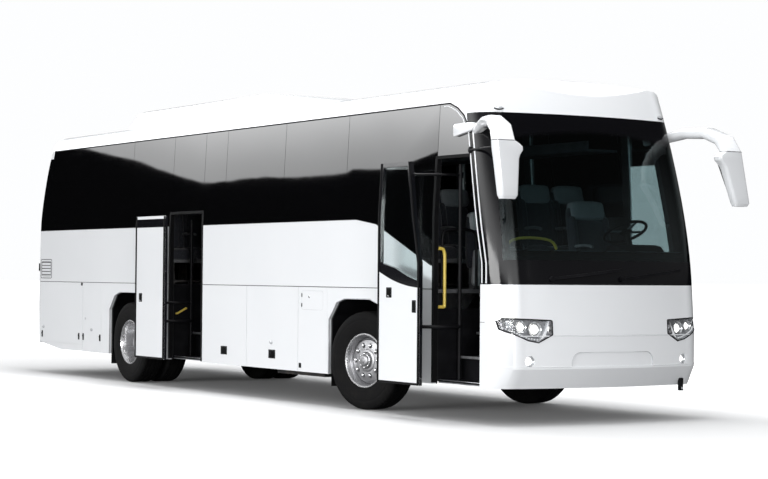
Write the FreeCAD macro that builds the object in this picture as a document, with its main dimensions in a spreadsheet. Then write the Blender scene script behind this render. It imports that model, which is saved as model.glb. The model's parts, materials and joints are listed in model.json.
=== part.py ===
import FreeCAD, Part
import math
import os
import re
from functools import lru_cache
from types import SimpleNamespace

import Sketcher

Vector = FreeCAD.Vector
document = FreeCAD.newDocument("coach")

# Driving sizes in millimetres and degrees; "reach" is ahead of the front axle, "setback" behind it
SIZES = {
    "wheelbase": 5800,
    "front_overhang": 2800,
    "rear_overhang": 3130,
    "mirror_reach": 200,
    "body_width": 2500,
    "roof_height": 3400,
    "shoulder_height": 3345,
    "shoulder_inset": 210,
    "skirt_height": 350,
    "seam_height": 1295,
    "belt_height": 2020,
    "glass_top": 3140,
    "tumblehome": 60,
    "wall": 50,
    "trim_flare": 50,
    "glass_thickness": 10,
    "pane_gap": 6,
    "cap_join_reach": 1400,
    "rear_cap_length": 130,
    "rear_top_lean": 350,
    "rear_bow": 25,
    "rear_tuck": 45,
    "rear_corner": 105,
    "rear_tail_rise": 90,
    "rear_bumper_top": 760,
    "rear_screen_bottom": 2020,
    "rear_screen_top": 3040,
    "crease_height": 540,
    "bumper_top": 860,
    "screen_bottom": 1350,
    "screen_top": 3030,
    "nose_tuck": 100,
    "mask_lean": 40,
    "screen_lean": 380,
    "screen_bow": 45,
    "crown_depth": 110,
    "corner_length": 290,
    "corner_inset": 250,
    "dome_start_reach": 1450,
    "dome_mid_height": 3305,
    "door_reach": 1480,
    "door_width": 810,
    "door_corner_height": 1550,
    "driver_sill": 1480,
    "pillar_lean": 360,
    "door_head": 2610,
    "door_sill": 388,
    "door_thickness": 40,
    "door_gap": 28,
    "mid_door_setback": 4540,
    "mid_door_width": 870,
    "mid_door_head": 2160,
    "front_arch_half": 590,
    "rear_arch_half": 570,
    "arch_top": 1175,
    "arch_slope_length": 330,
    "arch_slope_drop": 90,
    "arch_wall_drop": 230,
    "flap_gap": 6,
    "hinge_gap": 0.3,
    "flap_thickness": 40,
    "luggage_flap_setback": 3650,
    "luggage_flap_width": 1160,
    "second_flap_width": 1220,
    "service_flap_width": 644,
    "rear_flap_setback": 6630,
    "rear_flap_width": 640,
    "floor_thickness": 40,
    "platform_height": 1100,
    "bay_floor_height": 470,
    "step_rise": 237,
    "step_depth": 225,
    "step_inner": 475,
    "mid_step_rise": 300,
    "mid_step_inner": 450,
    "sheet_thickness": 15,
    "bulkhead": 30,
    "rail_spacing": 840,
    "rail_width": 70,
    "rail_bottom": 720,
    "rail_depth": 230,
    "rear_rail_end": 330,
    "front_rail_end": 450,
    "jack_pad_reach": 1235,
    "jack_pad_half": 60,
    "tyre_radius": 522,
    "tyre_half_width": 147,
    "tread_half_width": 118,
    "bulge_radius": 430,
    "rim_radius": 286,
    "rim_half_width": 130,
    "track_half": 1083,
    "twin_spacing": 333,
    "kingpin_offset": 203,
    "kingpin_radius": 22,
    "spindle_radius": 45,
    "running_clearance": 0.05,
    "steer_rest": 13,
    "housing_half": 640,
    "housing_inner": 560,
    "rack_height": 2760,
    "rack_thickness": 25,
    "rack_lip": 110,
    "rack_depth": 450,
    "seat_pitch": 770,
    "seat_width": 920,
    "seat_height": 450,
    "seat_back_height": 1130,
    "seat_rows": 11,
    "front_arm_length": 500,
    "front_arm_closed": 22.9,
    "front_arm_swing": 94.4,
    "mid_arm_length": 452.4,
    "mid_arm_closed": 25,
    "mid_arm_swing": 77.8,
    "bracket_depth": 30,
    "air_unit_setback": 2400,
    "air_unit_length": 4300,
    "air_unit_half": 900,
    "air_unit_top": 3620,
}

# Places worked out from the driving sizes
PLACES = {
    "front_axle_x": "(rear_overhang + wheelbase - front_overhang - mirror_reach) / 2",
    "rear_axle_x": "front_axle_x - wheelbase",
    "nose_x": "front_axle_x + front_overhang",
    "tail_x": "rear_axle_x - rear_overhang",
    "half_width": "body_width / 2",
    "inner_half": "half_width - wall",
    "rear_join_x": "tail_x + rear_cap_length",
    "cap_join_x": "front_axle_x + cap_join_reach",
    "door_rear_x": "front_axle_x + door_reach",
    "door_front_x": "door_rear_x + door_width",
    "mid_door_rear_x": "front_axle_x - mid_door_setback",
    "mid_door_front_x": "mid_door_rear_x + mid_door_width",
    "flap_1_x": "front_axle_x - luggage_flap_setback",
    "flap_2_x": "flap_1_x + luggage_flap_width",
    "flap_3_x": "flap_2_x + second_flap_width",
    "flap_end_x": "flap_3_x + service_flap_width",
    "rear_flap_end_x": "front_axle_x - rear_flap_setback",
    "rear_flap_a_x": "rear_join_x",
    "rear_flap_b_x": "rear_flap_end_x - rear_flap_width",
    "floor_end_x": "door_rear_x - sheet_thickness",
    "bay_rear_x": "mid_door_rear_x - 420",
    "bay_front_x": "flap_3_x",
    "floor_bottom": "seam_height - floor_thickness",
    "kingpin_y": "track_half - kingpin_offset",
    "rail_top": "rail_bottom + rail_depth",
    "jack_pad_x": "front_axle_x + jack_pad_reach",
    "glass_inset_top": "half_width - tumblehome",
}


def filled_sheet(name, cells):
    sheet = document.addObject("Spreadsheet::Sheet", name)
    for row, (alias, content) in enumerate(cells.items(), start=1):
        sheet.set(f"A{row}", alias)
        sheet.set(f"B{row}", str(content))
        sheet.setAlias(f"B{row}", alias)
    document.recompute()
    return sheet


def bound(text):
    """An expression in plain size names, with each name led to its sheet."""
    def lead(match):
        word = match.group(0)
        if word in SIZES:
            return "Sizes." + word
        if word in PLACES:
            return "Places." + word
        return word
    return re.sub(r"[A-Za-z_][A-Za-z_0-9]*", lead, text)


sizes_sheet = filled_sheet("Sizes", SIZES)
places_sheet = filled_sheet("Places", {name: "=" + bound(text) for name, text in PLACES.items()})
size = SimpleNamespace(**{name: float(sizes_sheet.get(name)) for name in SIZES},
                       **{name: float(places_sheet.get(name)) for name in PLACES})
parts = {}


def bind(thing, **properties):
    for name, text in properties.items():
        thing.setExpression(name.replace("__", "."), bound(str(text)))


def keep(name, thing):
    """Marks an object of the document as a finished sub-part."""
    thing.Label = name
    parts[name] = thing
    return thing


def place(thing, x="0", y="0", z="0", turn=None, axis=Vector(0, 0, 1)):
    if turn is not None:
        thing.Placement = FreeCAD.Placement(Vector(), FreeCAD.Rotation(axis, 1))
        thing.setExpression("Placement.Rotation.Angle", bound(turn))
    for letter, text in zip("xyz", (x, y, z)):
        thing.setExpression("Placement.Base." + letter, bound(text))
    return thing


def box(name, x, y, z):
    """A block between two bounds along each axis, given as size expressions."""
    block = document.addObject("Part::Box", name)
    for side, (low, high) in zip(("Length", "Width", "Height"), (x, y, z)):
        block.setExpression(side, bound(f"({high}) - ({low})"))
    return place(block, x[0], y[0], z[0])


def cylinder(name, radius, length, x, y, z, axis=Vector(0, 0, 1)):
    """A round bar that starts at a point and runs along an axis."""
    bar = document.addObject("Part::Cylinder", name)
    bind(bar, Radius=radius, Height=length)
    bar.Placement = FreeCAD.Placement(Vector(), FreeCAD.Rotation(Vector(0, 0, 1), axis))
    for letter, text in zip("xyz", (x, y, z)):
        bar.setExpression("Placement.Base." + letter, bound(text))
    return bar


def fuse(name, *things):
    joined = document.addObject("Part::MultiFuse", name)
    joined.Shapes = list(things)
    return joined


def cut(name, base, *tools):
    tool = tools[0]
    if len(tools) > 1:
        tool = fuse(name + "_tools", *tools)
    rest = document.addObject("Part::Cut", name)
    rest.Base = base
    rest.Tool = tool
    return rest


def common(name, *things):
    shared = document.addObject("Part::MultiCommon", name)
    shared.Shapes = list(things)
    return shared


def feature(name, shape):
    """A free-form piece, its shape worked out from the sheets."""
    thing = document.addObject("Part::Feature", name)
    thing.Shape = shape
    return thing


def origin_plane(body, role):
    return next(part for part in body.Origin.OriginFeatures if part.Role == role)


def sketch(body, role, offset="0"):
    drawing = body.newObject("Sketcher::SketchObject", body.Name + "_sketch")
    drawing.AttachmentSupport = [(origin_plane(body, role), "")]
    drawing.MapMode = "FlatFace"
    drawing.setExpression("AttachmentOffset.Base.z", bound(offset))
    return drawing


def closed_outline(drawing, points):
    """Straight lines through points, each held to its size expressions."""
    count = len(points)
    first = drawing.GeometryCount
    start = [Vector(math.cos(2 * math.pi * i / count), math.sin(2 * math.pi * i / count), 0) * 100
             for i in range(count)]
    for i in range(count):
        drawing.addGeometry(Part.LineSegment(start[i], start[(i + 1) % count]), False)
    for i in range(count):
        drawing.addConstraint(Sketcher.Constraint("Coincident", first + i, 2,
                                                  first + (i + 1) % count, 1))
    for i, (across, up) in enumerate(points):
        for kind, text, now in (("DistanceX", across, start[i].x), ("DistanceY", up, start[i].y)):
            number = drawing.addConstraint(Sketcher.Constraint(kind, -1, 1, first + i, 1, now))
            drawing.setExpression(f"Constraints[{number}]", bound(str(text)))


def pad(name, role, points, low, high):
    """A straight-sided outline carried from one level to another, square to its plane."""
    body = document.addObject("PartDesign::Body", name)
    facing = {"XZ_Plane": -1, "YZ_Plane": 1, "XY_Plane": 1}[role]
    drawing = sketch(body, role, low if facing > 0 else f"-({high})")
    closed_outline(drawing, points)
    block = body.newObject("PartDesign::Pad", name + "_pad")
    block.Profile = drawing
    bind(block, Length=f"({high}) - ({low})")
    body.Tip = block
    return body


def turned(name, points):
    """A ring turned about the Y axis, drawn as offsets along Y and radii."""
    body = document.addObject("PartDesign::Body", name)
    drawing = sketch(body, "YZ_Plane")
    closed_outline(drawing, points)
    ring = body.newObject("PartDesign::Revolution", name + "_turn")
    ring.Profile = drawing
    ring.ReferenceAxis = (drawing, ["H_Axis"])
    ring.Angle = 360
    body.Tip = ring
    return body


def sided(side, text):
    """A size expression measured outwards from the centre plane to one side."""
    return f"{side} * ({text})"


def span(side, near, far):
    """Low and high bounds along Y of a stretch between two distances from the centre plane."""
    if side < 0:
        return (f"-({far})", f"-({near})")
    return (near, far)


SIDES = {"right": -1, "left": 1}


# Free-form volumes of the body, each inset evenly from the outer skin
def arc(first, middle, last):
    return Part.Arc(Vector(*first), Vector(*middle), Vector(*last)).toShape()


def line(first, last):
    return Part.LineSegment(Vector(*first), Vector(*last)).toShape()


def prism(edges, direction):
    return Part.Face(Part.Wire(edges)).extrude(Vector(*direction))


def side_width(height):
    """Half width of the body at a height: upright to the belt, then leaning in."""
    above = max(0, height - size.belt_height)
    return size.half_width - size.tumblehome * above / (size.glass_top - size.belt_height)


ROUND = math.sqrt(0.5)


def section_volume(inset, low_x, high_x, flare=0):
    """The cross-section of the body carried along X, its sides opened out below the shoulder by a flare."""
    bottom = size.skirt_height - size.wall - flare
    half = size.half_width - inset + flare
    top_half = size.half_width - size.tumblehome - inset
    shoulder = size.half_width - size.tumblehome - size.shoulder_inset
    rise = size.shoulder_height - size.glass_top - inset
    reach = size.shoulder_inset - inset
    edges = []
    for side in (-1, 1):
        foot = (low_x, side * half, bottom)
        belt = (low_x, side * half, size.belt_height)
        top = (low_x, side * top_half, size.glass_top)
        bend = (low_x, side * (shoulder + reach * ROUND), size.glass_top + rise * ROUND)
        crest = (low_x, side * shoulder, size.glass_top + rise)
        run = [line(foot, belt), line(belt, top), arc(top, bend, crest)]
        edges.append(run)
    right, left = edges
    shoulder_z = size.glass_top + rise
    crown = arc((low_x, -shoulder, shoulder_z), (low_x, 0, size.roof_height - inset),
                (low_x, shoulder, shoulder_z))
    base = line((low_x, half, bottom), (low_x, -half, bottom))
    wire = Part.Wire(right + [crown] + left[::-1] + [base])
    return Part.Face(wire).extrude(Vector(high_x - low_x, 0, 0))


def end_outline(height, tip, facing, shape, inset, back):
    """Plan outline of one end of the body at a height, from a line behind it round both corners."""
    crown, corner_length, corner_inset = shape
    start = tip - facing * (crown + corner_length)
    full = side_width(height)
    half = full - inset
    corner = full - corner_inset
    edge = tip - facing * (crown + inset)
    bend_x = start + (edge - start) * ROUND
    bend_y = corner + (half - corner) * ROUND
    right_end = (edge, -corner, height)
    left_end = (edge, corner, height)
    edges = [line((back, half, height), (back, -half, height)),
             line((back, -half, height), (start, -half, height)),
             arc((start, -half, height), (bend_x, -bend_y, height), right_end),
             arc(right_end, (tip - facing * inset, 0, height), left_end),
             arc(left_end, (bend_x, bend_y, height), (start, half, height)),
             line((start, half, height), (back, half, height))]
    return Part.Wire(edges)


def front_outline(height, setback, inset, back):
    shape = (size.crown_depth, size.corner_length, size.corner_inset)
    return end_outline(height, size.nose_x - setback, 1, shape, inset, back)


def rear_outline(height, setback, inset, back):
    shape = (size.rear_bow, size.rear_corner, size.rear_corner)
    return end_outline(height, size.tail_x + setback, -1, shape, inset, back)


def screen_setback(height):
    """How far the glass face lies behind the nose at a height: leaning and slightly bowed."""
    share = (height - size.screen_bottom) / (size.screen_top - size.screen_bottom)
    bow = 4 * size.screen_bow * share * (1 - share)
    return size.mask_lean + size.screen_lean * share - bow


@lru_cache(maxsize=None)
def front_volume(inset):
    """The nose of the body, from the skirt to the dome above the windscreen."""
    back = size.front_axle_x
    lower = [(size.skirt_height, size.nose_tuck), (size.crease_height, 0), (size.bumper_top, 0),
             (size.screen_bottom, size.mask_lean)]
    mask = Part.makeLoft([front_outline(z, setback, inset, back) for z, setback in lower],
                         True, True)
    step = (size.screen_top - size.screen_bottom) / 3
    levels = [size.screen_bottom + step * i for i in range(4)] + [size.roof_height + size.trim_flare]
    glass = Part.makeLoft([front_outline(z, screen_setback(z), inset, back - size.trim_flare) for z in levels],
                          True, False)
    trim = section_volume(inset, back, size.nose_x + size.trim_flare, size.trim_flare)
    return mask, glass.common(trim.common(dome_volume(inset, back)))


def dome_volume(inset, back):
    """Side view of the roof as it rolls down to the top of the windscreen."""
    depth = size.half_width
    low = size.skirt_height
    top = size.roof_height - inset
    edge_x = size.nose_x - screen_setback(size.screen_top) + size.wall - inset
    start_x = size.front_axle_x + size.dome_start_reach
    bend_x = size.nose_x - size.screen_lean - size.crown_depth - size.corner_length
    bend = (bend_x + size.shoulder_inset, -depth, size.dome_mid_height - inset)
    edges = [line((back, -depth, low), (back, -depth, top)),
             line((back, -depth, top), (start_x, -depth, top)),
             arc((start_x, -depth, top), bend, (edge_x, -depth, size.screen_top + size.wall)),
             line((edge_x, -depth, size.screen_top + size.wall), (size.nose_x, -depth, size.screen_top)),
             line((size.nose_x, -depth, size.screen_top), (size.nose_x, -depth, low)),
             line((size.nose_x, -depth, low), (back, -depth, low))]
    return prism(edges, (0, 2 * depth, 0))


def pillar_x(height):
    """The slanting join between side wall and nose: upright to the door corner, then leaning."""
    above = max(0, height - size.door_corner_height)
    lean = size.pillar_lean / (size.glass_top - size.door_corner_height)
    return size.door_front_x - lean * above


def ahead_of_pillar(low, high):
    """Everything ahead of the slanting join between two heights."""
    depth = size.body_width
    far = size.nose_x + size.wall
    corners = [(pillar_x(low), -depth, low)]
    if low < size.door_corner_height < high:
        corners.append((pillar_x(size.door_corner_height), -depth, size.door_corner_height))
    corners += [(pillar_x(high), -depth, high), (far, -depth, high), (far, -depth, low)]
    edges = [line(corners[i - 1], corners[i]) for i in range(len(corners))]
    return prism(edges, (0, 2 * depth, 0))


@lru_cache(maxsize=None)
def rear_volume(inset):
    """The tail of the body: tucked in at the bumper, upright, then leaning to the roof."""
    back = size.rear_join_x + size.body_width
    lower = [(size.skirt_height - size.wall, size.rear_tuck), (size.crease_height, size.rear_tuck / 3),
             (size.belt_height / 2, 0), (size.belt_height, size.rear_bow)]
    wall = Part.makeLoft([rear_outline(z, setback, inset, back) for z, setback in lower], True, True)
    lean = size.rear_top_lean
    upper = [(size.belt_height, size.rear_bow), (size.rear_screen_top * 0.8, lean * 0.16),
             (size.rear_screen_top * 0.93, lean * 0.45), (size.glass_top, lean * 0.85),
             (size.roof_height, lean * 1.7)]
    glass = Part.makeLoft([rear_outline(z, setback, inset, back) for z, setback in upper], True, False)
    trim = section_volume(inset, size.tail_x - size.wall, back - size.trim_flare, size.trim_flare)
    return wall, glass.common(trim)


def join_x(height):
    """The leaning join of tail and side walls, by height."""
    above = max(0, height - size.belt_height) / (size.glass_top - size.belt_height)
    return size.rear_join_x + size.rear_top_lean * above


def behind_join(low, high):
    """Everything behind the join of tail and side walls, which leans with the tail."""
    depth = size.body_width
    far = size.tail_x - size.body_width
    heights = [low] + [z for z in (size.belt_height, size.glass_top) if low < z < high] + [high]
    loop = [(join_x(z), -depth, z) for z in heights] + [(far, -depth, high), (far, -depth, low)]
    edges = [line(loop[i - 1], loop[i]) for i in range(len(loop))]
    return prism(edges, (0, 2 * depth, 0))


def block(x, y, z):
    return Part.makeBox(x[1] - x[0], y[1] - y[0], z[1] - z[0], Vector(x[0], y[0], z[0]))


def nose_panels():
    """Bumper, mask, windscreen, its frame and the roof cap, cut from one nose."""
    outer_mask, outer_glass = front_volume(0)
    middle_mask, middle_glass = front_volume(size.glass_thickness)
    inner_mask, inner_glass = front_volume(size.wall)
    skin = outer_mask.cut(inner_mask)
    bumper = skin.common(ahead_of_pillar(size.skirt_height - size.wall, size.bumper_top))
    mask = skin.common(ahead_of_pillar(size.bumper_top, size.screen_bottom))
    lamps = []
    lens = front_volume(size.glass_thickness / 2)[0].cut(front_volume(size.wall * 2)[0])
    for side in (-1, 1):
        lamp_shape = headlamp_prism(side)
        fog_shape = fog_prism(side)
        lamps.append(lens.common(lamp_shape))
        lamps.append(lens.common(fog_shape))
        mask = mask.cut(lamp_shape)
        bumper = bumper.cut(fog_shape).cut(lamp_shape)
    plate = outer_mask.cut(middle_mask)
    recess = block((size.nose_x - size.body_width, size.nose_x), (-500, 500), (560, 700))
    bumper = bumper.cut(plate.common(recess))
    screen_zone = ahead_of_pillar(size.screen_bottom, size.screen_top)
    windscreen = outer_glass.cut(middle_glass).common(screen_zone)
    frame = middle_glass.cut(inner_glass).common(screen_zone)
    aperture = block((size.front_axle_x, size.nose_x + size.wall), (-1100, 1100), (1540, 2900))
    frame = frame.cut(aperture)
    shell = outer_glass.cut(inner_glass)
    cap = shell.common(ahead_of_pillar(size.screen_top, size.roof_height + size.wall))
    crest = block((size.cap_join_x, size.nose_x), (-size.body_width, size.body_width),
                  (size.glass_top, size.roof_height + size.wall))
    cap = cap.fuse(shell.common(crest)).removeSplitter()
    cap = cap.cut(side_zone())
    keep("front_bumper", feature("front_bumper", bumper))
    keep("front_mask", feature("front_mask", mask))
    keep("windscreen", feature("windscreen", windscreen))
    keep("windscreen_frame", feature("windscreen_frame", frame))
    keep("front_cap", feature("front_cap", cap))
    keep("front_lamps", feature("front_lamps", Part.makeCompound(lamps)))


def side_zone():
    """The space of the side walls at the cab, below the top of the glass."""
    depth = size.body_width
    low = size.screen_top - size.wall
    corners = [(size.front_axle_x, low), (pillar_x(low), low),
               (pillar_x(size.glass_top), size.glass_top), (size.front_axle_x, size.glass_top)]
    loop = [(x, -depth, z) for x, z in corners]
    edges = [line(loop[i - 1], loop[i]) for i in range(len(loop))]
    return prism(edges, (0, 2 * depth, 0))


def headlamp_prism(side):
    """Front view of a headlamp: a wedge that is tall at its inner end."""
    corners = [(740, 1005), (860, 800), (960, 815), (1215, 920), (1225, 1000), (1190, 1030)]
    x = size.nose_x - size.body_width / 5
    loop = [(x, side * y, z) for y, z in corners]
    edges = [line(loop[i - 1], loop[i]) for i in range(len(loop))]
    return prism(edges, (size.body_width / 4, 0, 0))


def fog_prism(side):
    x = size.nose_x - size.body_width / 5
    return Part.makeCylinder(52, size.body_width / 4, Vector(x, side * 949, 616), Vector(1, 0, 0))


def tail_panels():
    """Tail wall with its engine door and lamps, and the wrap-round rear glass."""
    outer = rear_volume(0)
    middle = rear_volume(size.glass_thickness)
    inner = rear_volume(size.wall)
    deep = (size.tail_x - size.wall, size.rear_join_x + size.wall)
    far = (deep[0], size.rear_join_x + size.body_width / 5)
    zone = behind_join(size.skirt_height - size.wall, size.roof_height + size.wall)
    lower_shell = outer[0].cut(inner[0]).common(zone).cut(tail_cut())
    upper_shell = outer[1].cut(inner[1]).common(zone)
    below = block(deep, (-size.half_width, size.half_width), (0, size.rear_bumper_top))
    pane = outer[1].cut(middle[1]).common(behind_join(size.rear_screen_bottom, size.rear_screen_top))
    upper_shell = upper_shell.cut(pane).cut(block(far, (-950, 950), (size.rear_screen_bottom + 120,
                                                                   size.rear_screen_top - 120)))
    keep("rear_bumper", feature("rear_bumper", lower_shell.common(below)))
    gap = size.flap_gap
    door_block = block(deep, (-780 + gap, 780 - gap), (size.rear_bumper_top + gap, 1760 - size.hinge_gap))
    door = outer[0].cut(rear_volume(size.flap_thickness)[0]).common(door_block)
    keep("engine_door", feature("engine_door", door))
    wall = lower_shell.cut(below).cut(block(deep, (-780, 780), (size.rear_bumper_top, 1760)))
    lamps = []
    for side in (-1, 1):
        low, high = sorted((side * 930, side * 1130))
        lamp_space = block(deep, (low, high), (980, 1560))
        lamps.append(rear_volume(3)[0].cut(inner[0]).common(lamp_space))
        wall = wall.cut(lamp_space)
    keep("rear_wall", feature("rear_wall", wall.fuse(upper_shell).removeSplitter()))
    keep("rear_lamps", feature("rear_lamps", Part.makeCompound(lamps)))
    return pane


def tail_cut():
    """The underside that rises towards the tail."""
    depth = size.body_width
    low = size.skirt_height
    start = size.rear_flap_setback
    front = size.front_axle_x - start - size.rear_flap_width - size.wall
    loop = [(front, low), (front - size.body_width / 3, low),
            (size.tail_x - size.wall, low + size.rear_tail_rise), (size.tail_x - size.wall, 0), (front, 0)]
    corners = [(x, -depth, z) for x, z in loop]
    edges = [line(corners[i - 1], corners[i]) for i in range(len(corners))]
    return prism(edges, (0, 2 * depth, 0))


def roof_panel():
    """Roof between the tail and the cap over the cab, with two hatch openings."""
    low_x = size.tail_x
    shell = section_volume(0, low_x, size.cap_join_x).cut(
        section_volume(size.wall, low_x - 1, size.cap_join_x + 1))
    above = block((low_x - 1, size.cap_join_x + 1), (-size.body_width, size.body_width),
                  (size.glass_top, size.roof_height + size.wall))
    shell = shell.common(above)
    shell = shell.cut(behind_join(size.skirt_height, size.roof_height + size.wall))
    gap = size.flap_gap
    for name, centre in (("roof_hatch_front", size.front_axle_x - 900),
                         ("roof_hatch_rear", size.front_axle_x - 7600)):
        hole = block((centre - 400, centre + 400), (-350, 350),
                     (size.shoulder_height - size.wall * 2, size.roof_height + size.wall * 2))
        shell = shell.cut(hole)
        lid = block((centre - 400 + gap, centre + 400 - size.hinge_gap), (-350 + gap, 350 - gap),
                    (size.shoulder_height - size.wall * 2, size.roof_height + size.wall))
        keep(name, feature(name, section_volume(0, low_x, size.cap_join_x).cut(
            section_volume(size.flap_thickness, low_x, size.cap_join_x)).common(lid)))
    keep("roof", feature("roof", shell))


# Side walls, their glass and their flaps
PANE_JOINTS = ("7250", "5750", "mid_door_setback", "mid_door_setback - mid_door_width", "3100", "1670", "280")


def wall_outline(side, outer, inner, low, high):
    """Cross-section of a wall layer between two insets from the skin."""
    high_lean = f"tumblehome * ({high} - belt_height) / (glass_top - belt_height)"
    return [(sided(side, f"half_width - {outer}"), low),
            (sided(side, f"half_width - {outer}"), "belt_height"),
            (sided(side, f"half_width - {outer} - {high_lean}"), high),
            (sided(side, f"half_width - {inner} - {high_lean}"), high),
            (sided(side, f"half_width - {inner}"), "belt_height"),
            (sided(side, f"half_width - {inner}"), low)]


PILLAR = "door_front_x - pillar_lean * ({z} - door_corner_height) / (glass_top - door_corner_height)"


def pillar_at(z):
    return PILLAR.format(z=z)


def front_slant(name, side, back="0"):
    """Space ahead of the slanting join on one side."""
    points = [(f"door_front_x - ({back})", "skirt_height - wall"),
              (f"door_front_x - ({back})", "door_corner_height"),
              (f"{pillar_at('glass_top')} - ({back})", "glass_top"),
              (f"{pillar_at('glass_top')} - ({back})", "roof_height"),
              ("nose_x", "roof_height"), ("nose_x", "skirt_height - wall")]
    return pad(name, "XZ_Plane", points, *span(side, "half_width - 4 * wall", "half_width + wall"))


def rear_slant(name, side):
    points = [("rear_join_x", "skirt_height - wall"), ("rear_join_x", "belt_height"),
              ("rear_join_x + rear_top_lean", "glass_top"),
              ("rear_join_x + rear_top_lean", "roof_height"),
              ("tail_x - wall", "roof_height"), ("tail_x - wall", "skirt_height - wall")]
    return pad(name, "XZ_Plane", points, *span(side, "half_width - 4 * wall", "half_width + wall"))


def arch_cut(name, side, axle, half):
    points = [(f"{axle} - {half}", "skirt_height - wall"), (f"{axle} - {half}", "arch_top - arch_wall_drop"),
              (f"{axle} - {half} + arch_slope_length / 2", "arch_top - arch_slope_drop / 2"),
              (f"{axle} - {half} + arch_slope_length", "arch_top"),
              (f"{axle} + {half} - arch_slope_length", "arch_top"),
              (f"{axle} + {half} - arch_slope_length / 2", "arch_top - arch_slope_drop / 2"),
              (f"{axle} + {half}", "arch_top - arch_wall_drop"), (f"{axle} + {half}", "skirt_height - wall")]
    return pad(name, "XZ_Plane", points, *span(side, "half_width - 2 * wall", "half_width + wall"))


def glass_band(name, side):
    """Side view of the dark glazing: straight along the belt, swooping down to the cab."""
    points = [("rear_join_x", "belt_height"), ("front_axle_x - 40", "belt_height"),
              ("front_axle_x + 370", "belt_height - 55"), ("front_axle_x + 505", "belt_height - 112"),
              ("front_axle_x + 1120", "belt_height - 366"), ("front_axle_x + 1480", "belt_height - 510"),
              ("door_front_x + wall", "screen_bottom"), ("door_front_x + wall", "door_corner_height"),
              (f"{pillar_at('glass_top')} + wall", "glass_top"),
              ("rear_join_x + rear_top_lean", "glass_top")]
    return pad(name, "XZ_Plane", points, *span(side, "half_width - 4 * wall", "half_width + wall"))


def front_door_space(name, side):
    points = [("door_rear_x", "skirt_height - wall"), ("door_front_x + wall", "skirt_height - wall"),
              ("door_front_x + wall", "door_head"), ("door_rear_x", "door_head")]
    return pad(name, "XZ_Plane", points, *span(side, "half_width - 4 * wall", "half_width + wall"))


def side_wall(word, side):
    """One side wall with arches, flap openings and windows, and the glass bonded outside it."""
    full = pad(f"wall_{word}_plate", "YZ_Plane", wall_outline(side, "0", "wall", "skirt_height", "glass_top"),
               "rear_join_x", "door_front_x")
    skin = pad(f"skin_{word}_plate", "YZ_Plane",
               wall_outline(side, "0", "glass_thickness", "skirt_height", "glass_top"),
               "rear_join_x", "door_front_x")
    band = glass_band(f"band_{word}", side)
    glass = common(f"glass_{word}_band", skin, band)
    deep = span(side, "half_width - 4 * wall", "half_width + wall")
    cuts = [glass, front_slant(f"front_slant_{word}", side), rear_slant(f"rear_slant_{word}", side),
            arch_cut(f"front_arch_{word}", side, "front_axle_x", "front_arch_half"),
            arch_cut(f"rear_arch_{word}", side, "rear_axle_x", "rear_arch_half"),
            box(f"flap_space_{word}", ("flap_1_x", "flap_end_x"), deep, ("skirt_height - wall", "seam_height")),
            box(f"rear_flap_space_{word}", ("rear_flap_a_x - wall", "rear_flap_end_x"), deep,
                ("skirt_height - wall", "seam_height"))]
    edges = ["rear_join_x + rear_top_lean + wall"]
    edges += [f"front_axle_x - ({joint})" for joint in PANE_JOINTS] + ["door_rear_x"]
    for number in range(len(edges) - 1):
        over_door = word == "right" and PANE_JOINTS[number - 1] == "mid_door_setback"
        sill = "mid_door_head + wall" if over_door else "belt_height + wall"
        cuts.append(box(f"window_{word}_{number}", (f"{edges[number]} + wall", f"{edges[number + 1]} - wall"),
                        deep, (sill, "glass_top - 1.5 * wall")))
    if word == "right":
        cuts.append(front_door_space("front_door_space", side))
        cuts.append(box("mid_door_space", ("mid_door_rear_x", "mid_door_front_x"), deep,
                        ("skirt_height - wall", "mid_door_head")))
    else:
        window = [("door_rear_x + wall", "driver_sill + wall"),
                  ("door_front_x - 1.5 * wall", "driver_sill"),
                  ("door_front_x - 1.5 * wall", "door_corner_height"),
                  (f"{pillar_at('glass_top - 1.5 * wall')} - 1.5 * wall", "glass_top - 1.5 * wall"),
                  ("door_rear_x + wall", "glass_top - 1.5 * wall")]
        cuts.append(pad("driver_window", "XZ_Plane", window, *deep))
    keep(f"side_wall_{word}", cut(f"side_wall_{word}", full, *cuts))
    joints = [front_slant(f"front_slant_glass_{word}", side), rear_slant(f"rear_slant_glass_{word}", side)]
    for number, joint in enumerate(PANE_JOINTS + ("-door_reach",)):
        joints.append(box(f"joint_{word}_{number}", (f"front_axle_x - ({joint}) - pane_gap / 2",
                                                    f"front_axle_x - ({joint}) + pane_gap / 2"),
                          deep, ("screen_bottom", "roof_height")))
    if word == "right":
        joints.append(front_door_space("front_door_glass_space", side))
        joints.append(box("mid_door_glass_space", ("mid_door_rear_x", "mid_door_front_x"), deep,
                          ("skirt_height", "mid_door_head")))
    return cut(f"glass_{word}", glass, *joints)


def flap(name, side, low_x, high_x, bottom="skirt_height"):
    """A top-hinged luggage flap, flush with the skin."""
    points = [(sided(side, "half_width"), f"{bottom}"), (sided(side, "half_width"), "seam_height - hinge_gap"),
              (sided(side, "half_width - flap_thickness"), "seam_height - hinge_gap"),
              (sided(side, "half_width - flap_thickness"), f"{bottom}")]
    return keep(name, pad(name, "YZ_Plane", points, f"{low_x} + flap_gap / 2", f"{high_x} - flap_gap / 2"))


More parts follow.
